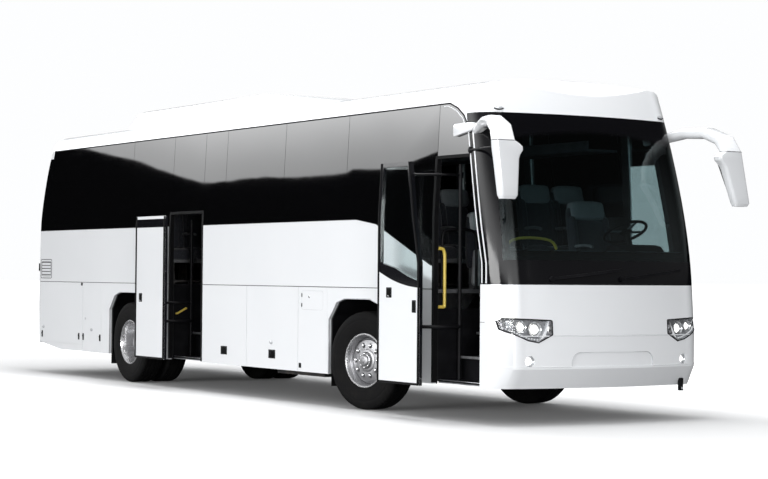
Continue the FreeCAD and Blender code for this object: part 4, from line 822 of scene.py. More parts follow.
def wheels():
    """Forged wheels: bright lip, disc with ten nutted holes, stepped hub. The rear ones are deep twins."""
    for axle, sections, disc, studs in (("front", FRONT_SECTIONS, (0.112, 0.217, 0.088, 0.072), FRONT_STUDS),
                                        ("rear", REAR_SECTIONS, (0.118, 0.2145, -0.124, -0.109), REAR_STUDS)):
        for word, side in SIDES.items():
            wheel = f"{axle}_wheel_{word}"
            place = spin_places(f"{wheel}_spin", side)
            piece = Piece(f"{axle}_wheel_dressed_{word}", wheel, RIM, DISC, CHROME, DARK_HOLE)
            for section, steps, material in sections:
                piece.add(turned(section, steps), material, place)
            piece.add(holed_disc(*disc), 1, place)
            for count, shift, ring, low, high, radius, sides, end, bevel, material in studs:
                turns = [math.tau * (i + shift) / count for i in range(count)]
                spots = [place @ Matrix.Rotation(turn, 4, "Y") for turn in turns]
                piece.add(rod((ring, low, 0), (ring, high, 0), radius, sides, end, bevel), material, spots)
            piece.done("polished_rim", wheel, angle=30.0)


# Front
# Outlines on the nose as distance from the centre plane, height and a nought
LAMP_OUTLINE = [(0.715, 1.008, 0), (0.715, 0.871, 0), (0.862, 0.796, 0), (0.968, 0.815, 0), (1.215, 0.920, 0),
                (1.225, 0.998, 0), (1.190, 1.029, 0)]
LAMP_INNER = [(0.718, 1.008, 0), (0.718, 0.873, 0), (0.855, 0.800, 0), (0.866, 0.800, 0), (0.744, 1.008, 0)]
LAMP_LEDS = [(0.868, 0.822, 0), (0.955, 0.835, 0), (1.10, 0.895, 0), (1.19, 0.935, 0)]
LAMP_MIDDLE = (0.95, 0.92)
FOG_LAMP = (0.949, 0.616)


def swept(points, wide, deep):
    """A bar of rectangular section carried along points."""
    points = [Vector(point) for point in points]
    wide, deep = Vector(wide), Vector(deep)
    shape = bmesh.new()
    corners = [points[0] + wide * i + deep * j for i, j in ((-1, -1), (1, -1), (1, 1), (-1, 1))]
    face = shape.faces.new([shape.verts.new(corner) for corner in corners])
    for before, after in zip(points, points[1:]):
        made = bmesh.ops.extrude_face_region(shape, geom=[face])["geom"]
        moved = [item for item in made if isinstance(item, bmesh.types.BMVert)]
        bmesh.ops.translate(shape, verts=moved, vec=after - before)
        face = [item for item in made if isinstance(item, bmesh.types.BMFace)][0]
    return outwards(shape)


def divided(points, step=0.03, closed=True):
    """Points along a run of straight lines, close enough to lie on a curved skin."""
    ends = points[1:] + points[:1] if closed else points[1:]
    made = []
    for start, end in zip(points, ends):
        start, end = Vector(start), Vector(end)
        count = max(1, round((end - start).length / step))
        made += [start.lerp(end, k / count) for k in range(count)]
    return made if closed else made + [Vector(points[-1])]


def reflector(piece, place, radius, depth=0.034, rim=0.004):
    """Chrome bowl of a lamp about the X axis, its rim at the front."""
    curve = [(-depth * (1 - (k / 6) ** 2), radius * k / 6) for k in range(7)]
    edge = [(-rim, radius), (0.0, radius + rim / 2), (0.0, radius + rim), (-rim, radius + 1.5 * rim),
            (-2 * rim, radius + rim), (-rim, radius)]
    for profile in (curve[::-1] + [(-depth - 0.003, 0.0)], edge):
        piece.add(spun(profile, 40), 1, place)


def headlamps():
    """Wedge-shaped lamps: dark housing, two lit reflectors, flasher, row of small lights, rubber edge."""
    outline = divided(rounded_outline(LAMP_OUTLINE, 0.013))
    across, height = LAMP_MIDDLE
    for word, side in SIDES.items():
        piece = Piece(f"headlamp_unit_{word}", "root", LAMP_HOUSE, CHROME, LIT, BULB, WHITE_LENS, SEAL, PALE)
        edge = [nose_point(side * y, z, 0.0005)[0] for y, z, _ in outline]
        piece.add(pipe(edge, 0.0055, closed=True), 5)
        back = [nose_point(side * (across + (y - across) * 0.97), height + (z - height) * 0.94, -0.046)[0]
                for y, z, _ in outline]
        piece.add(fan(back, nose_point(side * across, height, -0.046)[0]), 0)
        foot, normal = nose_point(side * 0.765, 0.90, 0.0012)
        panel = fan([nose_point(side * y, z, 0.0012)[0] for y, z, _ in divided(LAMP_INNER)], foot)
        if sum(face.normal.x for face in panel.faces) < 0:
            bmesh.ops.reverse_faces(panel, faces=panel.faces[:])
        piece.add(panel, 0)
        piece.add(block((0.0, -0.018, -0.042), (0.0035, 0.018, 0.042), 0.0015), 1,
                  facing(foot, normal) @ Matrix.Translation((0, side * -0.018, 0.02)))
        for y, z, radius in ((0.890, 0.925, 0.068), (1.035, 0.945, 0.054)):
            place = nose_place(side * y, z, -0.010)
            reflector(piece, place, radius)
            piece.add(ball((-0.018, 0, 0), (0.012, radius * 0.55, radius * 0.55), 20), 3, place)
            ring = [(-0.012, radius * 0.72), (-0.008, radius * 0.75), (-0.012, radius * 0.78)]
            piece.add(spun(ring), 5, place)
        place = nose_place(side * 1.150, 0.972, -0.012) @ Matrix.Diagonal((1, 1.2, 0.85, 1))
        reflector(piece, place, 0.036, 0.02)
        piece.add(ball((-0.012, 0, 0), (0.008, 0.014, 0.014), 16), 4, place)
        small = [nose_place(side * y, z, -0.008) for y, z, _ in divided(LAMP_LEDS, 0.026, False)]
        piece.add(spun([(-0.010, 0.0088), (0.0, 0.0075), (0.003, 0.004), (0.004, 0.0)], 12), 2, small)
        y, z = FOG_LAMP
        place = nose_place(side * y, z, -0.012)
        reflector(piece, place, 0.046, 0.024)
        piece.add(ball((-0.012, 0, 0), (0.010, 0.027, 0.027), 20), 3, place)
        collar = [(-0.03, 0.0525), (0.003, 0.0525), (0.004, 0.056), (0.002, 0.064), (-0.006, 0.068)]
        piece.add(spun(collar, 40), 6, nose_place(side * y, z))
        piece.done("lamp_glass")


def bumper_trim():
    """Bright and dark seam lines across the nose, round corners of the bare plate recess, hook below."""
    piece = Piece("bumper_trim", "root", EDGE_GREY, SEAL, PAINT, BLACK)
    for height, material, radius in ((BUMPER_TOP + 0.003, 0, 0.0015), (BUMPER_TOP - 0.003, 2, 0.004),
                                     (0.5615, 2, 0.0045)):
        line = [nose_point(-1.235 + 2.47 * k / 48, height, 0.0002)[0] for k in range(49)]
        piece.add(pipe(line, radius), material)
    half, top, radius = 0.5, 0.70, 0.095
    corner = [(half - radius + y, top - radius + z) for y, z in arc(radius, 0, math.pi / 2, 8)]
    outline = [(half + 0.004, top + 0.004), (half + 0.004, top - radius)]
    outline += corner + [(half - radius, top + 0.004)]
    for side in SIDES.values():
        beside = side * (half + 0.006)
        spots = []
        for y, z in outline:
            depth = nose_point(beside, min(z, top))[0].x - nose_point(beside, top + 0.006)[0].x
            spots.append(Vector((depth + nose_point(side * y, top + 0.006)[0].x, side * y, z)))
        piece.add(slab(spots, (-0.03, 0, 0)), 2)
    lip = [(-half, 0.565), (-half, top - radius)] + [(-y, z) for y, z in corner]
    lip += [(-y, z) for y, z in lip[::-1]]
    above = nose_point(half + 0.006, top + 0.008)[0].x
    line = []
    for y, z in lip:
        reach = min(abs(y), half) + 0.006 * (abs(y) > half - 0.001)
        beyond = nose_point(math.copysign(reach, y), top + 0.008)[0].x
        drop = above - nose_point(half + 0.006, z)[0].x
        line.append((beyond - drop - 0.001, y, z))
    piece.add(pipe(line, 0.0028), 0)
    piece.add(block((5.582, 0.952, 0.292), (5.618, 1.0, 0.42), 0.006), 3)
    for x in (5.576, 5.624):
        piece.add(rod((x, 0.976, 0.318), (x + 0.002, 0.976, 0.318), 0.012, 20), 0)
    nodes = NOSE_SKIN + ("side_wall_left", "side_wall_right")
    for side in SIDES.values():
        seam = [skin_point(nodes, (5.05 + 0.035 * k, side * 3, 0.985), (0, -side, 0), 0.0002)[0]
                for k in range(9)]
        piece.add(pipe(seam, 0.0022), 1)
    piece.done("black_trim")


def roof_markers():
    """Two small clear lamps over the windscreen, each over a dark curved lip."""
    piece = Piece("roof_markers", "root", WHITE_LENS, SEAL)
    for side in SIDES.values():
        place = nose_place(side * 1.014, 3.07)
        piece.add(ball((0, 0, 0.006), (0.012, 0.042, 0.017), 20), 0, place)
        lip = [(0.004, 0.047 * y, -0.016 * z) for y, z in arc(1, 0, math.pi, 12)]
        piece.add(pipe(lip, 0.0055), 1, place)
    piece.done("black_trim")


# Mirror arm: share of its run, rise, pitch, half width, half depth. Head: share down, inset, width, depth
ARM_STATIONS = ((0, 0, 14, 0.048, 0.045), (0.35, 0.055, 5, 0.062, 0.052), (0.69, 0.045, -14, 0.088, 0.055),
                (0.91, -0.035, -45, 0.108, 0.055))
HEAD_STATIONS = ((0, 0, 1, 1), (0.05, 0, 1.22, 1.03), (0.1, 0, 1.36, 1.06), (0.16, 0, 1.36, 1.06),
                 (0.24, 0, 1.2, 1.03), (0.31, 0, 1.12, 1), (0.94, 0, 0.88, 0.9), (1, 0.016, 0.74, 0.68))
MIRROR_EDGES = {"right": (0, 0.065), "left": (0.110, 0)}
MIRROR_HALF, MIRROR_DEEP = 0.115, 0.055
MIRROR_SEAM, MIRROR_BOTTOM = 2.70, 2.152


def ring_section(centre, pitch, half_width, half_depth, radius=0.035):
    """Rounded section of a mirror shell, square to a direction pitched up or down from forwards."""
    turn = math.radians(pitch)
    along = Vector((-math.sin(turn), 0, math.cos(turn)))
    corners = [Vector((0, i * half_width, 0)) + along * (j * half_depth)
               for i, j in ((-1, -1), (1, -1), (1, 1), (-1, 1))]
    return [centre + point for point in rounded_outline(corners, min(radius, half_depth * 0.9), 5)]


def lofted(sections):
    """A closed shell through rings of equal count."""
    shape = bmesh.new()
    rings = []
    for section in sections:
        verts = [shape.verts.new(point) for point in section]
        rings.append([shape.edges.new((verts[i - 1], verts[i])) for i in range(len(verts))])
    for before, after in zip(rings, rings[1:]):
        bmesh.ops.bridge_loops(shape, edges=before + after)
    for ring in (rings[0], rings[-1]):
        bmesh.ops.holes_fill(shape, edges=ring, sides=0)
    return outwards(shape)


def blended(stations, count):
    """Rows of numbers eased between given rows."""
    made = []
    for before, after in zip(stations, stations[1:]):
        for k in range(count):
            share = k / count
            made.append([a + (b - a) * share for a, b in zip(before, after)])
    return made + [list(stations[-1])]


def mirrors():
    """Ear-shaped arms with hanging heads, glass behind, the seam, the cowl and the stay on the door side."""
    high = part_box("mirrors")[1]
    front_x, span = high.x, high.y
    root = Vector((FRONT_AXLE + 2.08, 0, 2.855))
    for word, side in SIDES.items():
        piece = Piece(f"mirror_{word}", "root", PAINT, MIRROR, SEAL, BLACK)
        top_inset, bottom_inset = MIRROR_EDGES[word]
        heads, backs = [], []
        for down, inset, wide, deep in blended(HEAD_STATIONS, 3):
            half_width, half_depth = MIRROR_HALF * wide, MIRROR_DEEP * deep
            share = min(down / 0.94, 1)
            edge = span - top_inset - (bottom_inset - top_inset) * share - inset
            centre = Vector((front_x - inset - half_depth, side * (edge - half_width),
                             MIRROR_SEAM - (MIRROR_SEAM - MIRROR_BOTTOM) * down))
            heads.append(ring_section(centre, -90, half_width, half_depth))
            if 0.05 <= down <= 0.97:
                backs.append((centre.x - half_depth - 0.0005, centre.y, centre.z, half_width - 0.036))
        piece.add(lofted(heads), 0)
        root_y = side_y(root.z) - 0.04
        seam_y = span - top_inset - MIRROR_HALF
        seam_x = front_x - MIRROR_DEEP
        arm = []
        for share, rise, pitch, half_width, half_depth in blended(ARM_STATIONS, 4):
            centre = Vector((root.x + (seam_x - root.x) * share, side * (root_y + (seam_y - root_y) * share),
                             root.z + rise))
            arm.append(ring_section(centre, pitch, half_width, half_depth))
        arm.append(heads[0])
        piece.add(lofted(arm), 0)
        glass = [Vector((x, y - half, z)) for x, y, z, half in backs]
        glass += [Vector((x, y + half, z)) for x, y, z, half in backs[::-1]]
        count = len(backs)
        corners = (0, count // 2, count - 1, count, -count // 2, -1)
        glass = rounded_outline([glass[i] for i in corners], 0.015)
        piece.add(slab(glass, (-0.003, 0, 0)), 1)
        piece.add(pipe([spot + Vector((-0.002, 0, 0)) for spot in glass], 0.005, closed=True), 2)
        piece.add(pipe(heads[0], 0.003, closed=True), 2)
        foot = ((-0.30, -0.055), (-0.30, 0.075), (0.04, 0.075), (0.04, 0))
        foot = [(root.x + x, root.z + z) for x, z in foot]
        loop = rounded_outline([(x, side * (side_y(z) - 0.04), z) for x, z in foot], 0.03)
        piece.add(slab(loop, (0, side * 0.075, 0), 0.008), 0)
        replaced = ()
        if word == "right":
            replaced = ("mirrors",)
            stay = skin_point(("windscreen_frame", "front_cap", "windows_right", "windscreen"),
                              (5.02, side * 2, 2.66), (0, -side, 0))[0]
            piece.add(rod(stay, (front_x - 0.09, side * (span - 2 * MIRROR_HALF + 0.03), 2.66), 0.014, 16), 3)
            piece.add(ball(stay, (0.035, 0.02, 0.035), 20), 3)
        piece.done("body_paint", *replaced, angle=50.0)


# Doors
def leaf_face(node, height):
    """Outer face of an open door leaf at a height: it leans in above the belt as the wall does."""
    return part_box(node)[0].y + SIDE - side_y(height)


def leaf_seals(node, front_edge, thickness, foot_half=0.012):
    """Rubber profiles down both upright edges and along the foot of a leaf."""
    low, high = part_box(node)
    heights = (low.z + 0.004, DOOR_CORNER, BELT, high.z - 0.004)
    shapes = []
    for edge, inward in ((lambda z: low.x, thickness), (front_edge, -thickness)):
        points = [(edge(z) + inward, leaf_face(node, z), z) for z in heights]
        shapes.append(swept(points, (thickness, 0, 0), (0, 0.005, 0)))
        shapes.append(pipe([(x, y - 0.004, z) for x, y, z in points], thickness * 0.62))
    foot = [(x, leaf_face(node, low.z), low.z + foot_half) for x in (low.x + 0.01, high.x - 0.01)]
    return shapes + [swept(foot, (0, 0.004, 0), (0, 0, foot_half))]


def pull_handle(piece, node, x, z, width, height, knob):
    """Flush black handle with or without a lock barrel, on the outer face of a leaf."""
    face = leaf_face(node, z)
    half = width / 2
    piece.add(block((x - half, face - 0.007, z - height / 2), (x + half, face + 0.004, z + height / 2),
                    0.006, 3), 1)
    half = width * 0.36
    piece.add(block((x - half, face - 0.0085, z - height * 0.3), (x + half, face - 0.004, z + height * 0.36),
                    0.004), 2)
    if knob:
        z -= height * 0.36
        piece.add(rod((x, face - 0.014, z), (x, face - 0.004, z), 0.009, 18, bevel=0.0015), 3)


def door_trims():
    """Rubber edges and flush handles of both leaves."""
    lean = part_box("front_door")[1].x - pillar_x(DOOR_CORNER)
    low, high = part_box("mid_door")
    front = ((3.998, 1.255, 0.098, 0.105, True), (4.466, 1.122, 0.07, 0.125, False))
    middle_handle = ((low.x + 0.155, 1.12, 0.085, 0.11, True),)
    for node, front_edge, thickness, handles in (("front_door", lambda z: pillar_x(z) + lean, 0.014, front),
                                                 ("mid_door", lambda z: high.x, 0.015, middle_handle)):
        piece = Piece(f"{node}_trim", f"{node}_leaf", SEAL, BLACK, DARK_HOLE, CHROME)
        for shape in leaf_seals(node, front_edge, thickness):
            piece.add(shape, 0)
        for handle in handles:
            pull_handle(piece, node, *handle)
        piece.done("black_trim")


def upper_arms():
    """Slim upper arm of each door, from its post to the leaf, over the arm of the CAD."""
    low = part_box("front_door_arm")[0]
    front_post = Vector((DOOR_REAR + 0.07, max(-0.985, low.y), 2.44))
    front_end = Vector((front_post.x - 0.205, leaf_face("front_door", 2.44) + 0.062, 2.44))
    low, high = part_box("mid_door_arm")
    mid_post = Vector((MID_REAR + 0.07, high.y - 0.02, 1.06))
    mid_end = Vector((low.x + 0.026, low.y + 0.026, 1.06))
    for door, post, end, ahead, radius, pin, pin_half in (
            ("front_door", front_post, front_end, 0.12, 0.013, 0.016, 0.02),
            ("mid_door", mid_post, mid_end, 0.10, 0.016, 0.018, 0.025)):
        bow = (post + end) / 2 + Vector((ahead, -0.03, 0))
        piece = Piece(f"{door}_upper_arm", f"{door}_arm", BLACK, CHROME)
        piece.add(pipe([post, bow + Vector((0.02, 0.09, 0)), bow, end], radius, curved=True), 0)
        piece.add(rod(post - UP * 0.03, post + UP * 0.03, 0.027, 24, bevel=0.003), 0)
        piece.add(rod(end - UP * pin_half, end + UP * pin_half, pin, 20, bevel=0.002), 1)
        piece.done("black_trim")


def doorway_seals():
    """Black rubber frames round both doorways, and the two white strips up each windscreen corner."""
    piece = Piece("doorway_seals", "root", SEAL, PAINT)
    front_end = pillar_x(FRONT_DOOR_HEAD) - 0.02
    mid_posts = (MID_REAR - 0.016, MID_FRONT + 0.016)
    for rear, end, head, posts in ((DOOR_REAR, front_end, FRONT_DOOR_HEAD, (DOOR_REAR - 0.016,)),
                                   (MID_REAR, MID_FRONT, MID_DOOR_HEAD, mid_posts)):
        for x in posts:
            points = [(x, -side_y(z) + 0.021, z) for z in (SKIRT + 0.01, 1.0, BELT, head)]
            piece.add(swept(points, (0.020, 0, 0), (0, 0.0245, 0)), 0)
        points = [(x, -side_y(head) + 0.02, head + 0.012) for x in (rear - 0.03, end + 0.03)]
        piece.add(swept(points, (0, 0.0235, 0), (0, 0, 0.016)), 0)
    nodes = ("windscreen", "windscreen_frame", "front_cap", "side_wall_left", "windows_left", "front_mask")
    bottom, length = 1.36, 1.5
    for side in SIDES.values():
        for ahead, drift, half in ((0.012, 0.018, 0.0075), (0.088, 0.014, 0.0095)):
            points = []
            for k in range(24):
                z = bottom + length * k / 23
                x = pillar_x(z) + ahead + drift * (bottom + length - z) / length
                points.append(skin_point(nodes, (x, side * 3, z), (0, -side, 0), 0.0005)[0])
            piece.add(swept(points, (half, 0, 0), (0, 0.0035, 0)), 1)
    piece.done("black_trim")


def hand_rails():
    """Yellow grab rails at both doorways and over the dashboard, dark hoops round the stairwells."""
    piece = Piece("hand_rails", "root", YELLOW, BLACK)
    grab = ((-1.198, 1.702), (-1.175, 1.702), (-1.145, 1.695), (-1.130, 1.655), (-1.128, 1.60),
            (-1.128, 1.13), (-1.128, 1.118), (-1.15, 1.116), (-1.198, 1.116))
    piece.add(pipe([(DOOR_REAR + 0.0075, y, z) for y, z in grab], 0.0165, curved=True), 0)
    for x, inner in ((4.39, -0.70), (MID_FRONT + 0.04, -0.50)):
        hoop = ((-1.12, FLOOR), (-1.12, 1.6), (-1.12, 1.86), (-1.06, 1.9), (inner - 0.08, 1.9), (inner, 1.86),
                (inner, 1.6), (inner, FLOOR))
        piece.add(pipe([(x, y, z) for y, z in hoop], 0.016, curved=True), 1)
        feet = [facing(Vector((x, y, FLOOR)), UP, (1, 0, 0)) for y in (-1.12, inner)]
        piece.add(spun([(0.0, 0.034), (0.006, 0.032), (0.012, 0.019)], 20), 1, feet)
    x = MID_REAR + 0.035
    piece.add(pipe([(x - 0.03, -1.165, 0.925), (x, -1.165, 0.925), (x, -1.15, 0.93), (x, -1.05, 0.985),
                    (x, -1.035, 0.99), (x - 0.03, -1.035, 0.99)], 0.014, curved=True), 0)
    bow = ((-0.98, 1.70), (-0.969, 1.752), (-0.86, 1.80), (-0.694, 1.81), (-0.50, 1.80), (-0.389, 1.761),
           (-0.37, 1.70))
    piece.add(pipe([(5.30, y, z) for y, z in bow], 0.014, curved=True), 0)
    piece.done("rail_yellow", "handrails")


def step_nosings():
    """Ribbed bright edges on the treads and sills of both stairwells, clear of the closed leaves."""
    piece = Piece("step_nosings", "root", ALUMINIUM, SEAL, EDGE_GREY)
    for rear, front, rise, tread in ((DOOR_REAR, DOOR_FRONT, 0.237, 0.225),
                                     (MID_REAR, MID_FRONT, 0.300, 0.25)):
        x0, x1 = rear + 0.03, front - 0.03
        for k in range(4):
            height = SILL + rise * k
            edge = max(-1.2 + tread * k, -SILL_INSET)
            piece.add(block((x0, edge - 0.003, height - 0.022), (x1, edge + 0.034, height + 0.003), 0.002), 0)
            for y in (edge + 0.008, edge + 0.017, edge + 0.026):
                rib = block((x0 + 0.01, y, height + 0.002), (x1 - 0.01, y + 0.004, height + 0.0045), 0.001)
                piece.add(rib, 1)
    for x0, x1 in ((DOOR_REAR, DOOR_FRONT - 0.01), (MID_REAR, MID_FRONT)):
        piece.add(block((x0 + 0.005, -SILL_INSET - 0.003, SILL - 0.03), (x1 - 0.005, -1.16, SILL + 0.004),
                        0.004), 0)
    piece.done("floor_vinyl")


# Sides
# Middles of the handles on each flap, and the lengthways place of its marker lamp
FLAP_HANDLES = {"engine_flap_right_rear": ((-5.735, 0.55), (-4.425, 0.55)),
                "engine_flap_right_front": ((-4.275, 0.55), (-3.715, 0.55)),
                "luggage_flap_right_rear": ((-0.091, 0.518),), "luggage_flap_right_front": ((1.097, 0.518),),
                "service_flap_right": ((1.749, 0.417),),
                "engine_flap_left": ((-5.735, 0.55), (-3.715, 0.55)),
                "luggage_flap_left_rear": ((-0.091, 0.518),), "luggage_flap_left_front": ((1.6, 0.518),)}
FLAP_LAMPS = {"engine_flap_right_rear": -5.695, "engine_flap_right_front": -4.0,
              "luggage_flap_right_front": 1.073, "engine_flap_left": -4.0, "luggage_flap_left_front": 1.073}
# Half width and half height of a handle on each kind of flap
HANDLE_HALVES = {"engine": (0.0221, 0.045), "luggage": (0.078, 0.05), "service": (0.02652, 0.027)}
SKIRT_EDGE, SLOPE_START, SLOPE = 0.352, -5.08, 0.115


def flap_handles():
    """Black recessed handles, round locks, marker lamps and the lower skirt of the engine flaps."""
    for flap, spots in FLAP_HANDLES.items():
        side = SIDES["right" if "right" in flap else "left"]
        face = side * SIDE
        kind = flap.split("_")[0]
        half_width, half_height = HANDLE_HALVES[kind]
        piece = Piece(f"{flap}_fittings", flap, BLACK, DARK_HOLE, CHROME, EDGE_GREY, WHITE_LENS, PAINT)
        for x, z in spots:
            for grow, depth, material in ((1.0, 0.004, 0), (0.72, 0.0055, 1)):
                low, high = sorted((face - side * 0.002, face + side * depth))
                across, up = half_width * grow, half_height * grow
                piece.add(block((x - across, low, z - up), (x + across, high, z + up), 0.002), material)
            ends = ((x, face + side * 0.003, z - half_height * 0.25),
                    (x, face + side * 0.009, z + half_height * 0.5))
            piece.add(rod(*ends, 0.0048 if kind == "service" else 0.008, 12), 0)
        low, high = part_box(flap)
        if kind == "engine" and low.z > 0.40:
            foot = [(low.x, low.z + 0.002), (high.x, low.z + 0.002), (high.x, SKIRT_EDGE),
                    (max(low.x, SLOPE_START), SKIRT_EDGE),
                    (low.x, SKIRT_EDGE + max(0.0, SLOPE_START - low.x) * SLOPE)]
            piece.add(slab([(x, face, z) for x, z in foot], (0, -side * 0.02, 0)), 5)
        if flap == "engine_flap_right_front":
            piece.add(rod((-4.205, face + side * 0.003, 0.80), (-4.205, face, 0.80), 0.016, 16), 3)
        if flap in FLAP_LAMPS:
            for radii, material in (((0.038, 0.007, 0.019), 4), ((0.044, 0.004, 0.025), 3)):
                piece.add(ball((FLAP_LAMPS[flap], face, 0.652), radii), material)
        if kind == "service":
            x0, x1, z0, z1 = 1.775, 2.245, 1.04, 1.25
            corners = [(x0, face, z0), (x1, face, z0), (x1, face, z1), (x0, face, z1)]
            piece.add(pipe(rounded_outline(corners, 0.03), 0.0016, closed=True), 3)
            ends = ((1.945, face + 0.002, 1.184), (1.945, face - 0.005, 1.184))
            piece.add(rod(*ends, 0.016, 20, bevel=0.002), 2)
            for z in (1.09, 1.2):
                piece.add(rod((1.782, face - 0.003, z - 0.02), (1.782, face - 0.003, z + 0.02), 0.006, 12), 0)
        piece.done("black_trim")


def along_side(points, side):
    """Side-view points laid on the leaning wall."""
    return [(x, side * side_y(z), z) for x, z in points]


def side_trim():
    """Gutters over the glass, seams, rear vent with its lamp, arch edges and the catch."""
    gutter = [(TAIL + 0.48, GLASS_TOP + 0.006), (FRONT_AXLE + 1.58, GLASS_TOP + 0.006),
              (FRONT_AXLE + 1.66, GLASS_TOP + 0.004), (FRONT_AXLE + 1.80, GLASS_TOP - 0.05),
              (FRONT_AXLE + 1.915, GLASS_TOP - 0.13), (pillar_x(2.86) + 0.03, 2.86)]
    inner = [(x - 0.022, z - 0.026) for x, z in gutter[1:]]
    swoop = [(-0.04, 2.02), (0.37, 1.965), (0.505, 1.908), (1.12, 1.654), (1.42, 1.532)]
    for word, side in SIDES.items():
        piece = Piece(f"side_trim_{word}", "root", SEAL, PAINT, BLACK, DARK_HOLE, EDGE_GREY, AMBER)
        piece.add(pipe(along_side(gutter, side), 0.008), 0)
        piece.add(pipe(along_side(inner, side), 0.0065), 1)
        lower = [(FRONT_AXLE + x, z - 0.001) for x, z in swoop]
        if side < 0:
            lower.insert(0, (MID_FRONT + 0.01, BELT - 0.001))
            rear = [(TAIL + 0.14, BELT - 0.001), (MID_REAR - 0.01, BELT - 0.001)]
            piece.add(pipe(along_side(rear, side), 0.0035), 0)
        else:
            lower.insert(0, (TAIL + 0.14, BELT - 0.001))
        piece.add(pipe(along_side(lower, side), 0.0035), 0)
        rows = [(TAIL + 0.14, MID_REAR), (MID_FRONT, DOOR_REAR)] if side < 0 else [(TAIL + 0.14, DOOR_FRONT)]
        for start, end in rows:
            line = [(start, side * (SIDE + 0.0005), FLOOR), (end, side * (SIDE + 0.0005), FLOOR)]
            piece.add(pipe(line, 0.0035), 3)
            shine = [(x, y, z - 0.007) for x, y, z in line]
            piece.add(pipe(shine, 0.0025), 1)
        # Grey tubes along the arch edges: their grey is painted shade of the white arch edge
        for axle, half in ((FRONT_AXLE, 0.59), (REAR_AXLE, 0.57)):
            arch = [(-half, SKIRT), (-half, 0.945), (-half + 0.165, 1.13), (-half + 0.33, 1.175)]
            arch += [(-x, z) for x, z in arch[::-1]]
            points = [(axle + x, side * (SIDE + 0.001), z) for x, z in arch]
            piece.add(pipe(points, 0.0065), 4)
        if side < 0:
            rear_vent(piece)
        face = side * SIDE
        piece.add(block((-4.36, face - 0.006, 1.248), (-4.31, face + 0.006, 1.288), 0.003), 2)
        piece.done("black_trim")


def rear_vent(piece):
    """Framed louvres behind the last window on the right, with the small lamp at the corner. Every other blade is
    near-black, painted shade of the gaps between the louvres.
    """
    x0, x1, z0, z1 = -5.805, -5.415, 1.345, 1.61
    face = -SIDE
    for grow, radius in ((0.0, 0.004), (-0.03, 0.003)):
        corners = [(x0 - grow, face, z0 - grow), (x1 + grow, face, z0 - grow),
                   (x1 + grow, face, z1 + grow), (x0 - grow, face, z1 + grow)]
        piece.add(pipe(rounded_outline(corners, 0.025), radius, closed=True), 3)
    for row in range(9):
        z = z0 + 0.048 + row * 0.0215
        blade = swept([(x0 + 0.04, face - 0.001, z), (x1 - 0.04, face - 0.001, z)], (0, 0.003, -0.005),
                      (0, 0.0, 0.0015))
        # Every other blade is near-black: painted shade of the gaps
        piece.add(blade, 1 if row % 2 else 3)
    place = facing(*skin_point(("rear_wall", "side_wall_right"), (-5.9, -3, 1.50), (0, 1, 0)))
    piece.add(block((-0.004, -0.05, -0.055), (0.012, 0.05, 0.055), 0.006, 3), 2, place)
    piece.add(block((0.008, -0.035, -0.04), (0.016, 0.035, 0.04), 0.004, 3), 5, place)


def mud_flaps():
    """Ribbed rubber flaps hanging behind the wheels."""
    piece = Piece("mud_flaps", "root", SEAL, BLACK)
    for axle in (FRONT_AXLE, REAR_AXLE):
        for side in SIDES.values():
            x = axle - 0.624
            low, high = sorted((side * 0.78, side * 1.195))
            piece.add(block((x, low, 0.215), (x + 0.008, high, 0.47), 0.003), 0)
            for k in range(5):
                y = low + 0.05 + k * (high - low - 0.1) / 4
                piece.add(block((x - 0.004, y - 0.012, 0.235), (x + 0.002, y + 0.012, 0.40), 0.002), 0)
            piece.add(block((x - 0.006, low + 0.01, 0.43), (x + 0.012, high - 0.01, 0.455), 0.003), 1)
    piece.done("black_trim")


# Tail
def tail_point(y, z, lift=0.0):
    nodes = ("rear_wall", "engine_door", "rear_lamps", "rear_window", "rear_bumper")
    return skin_point(nodes, (TAIL - 1, y, z), (1, 0, 0), lift)


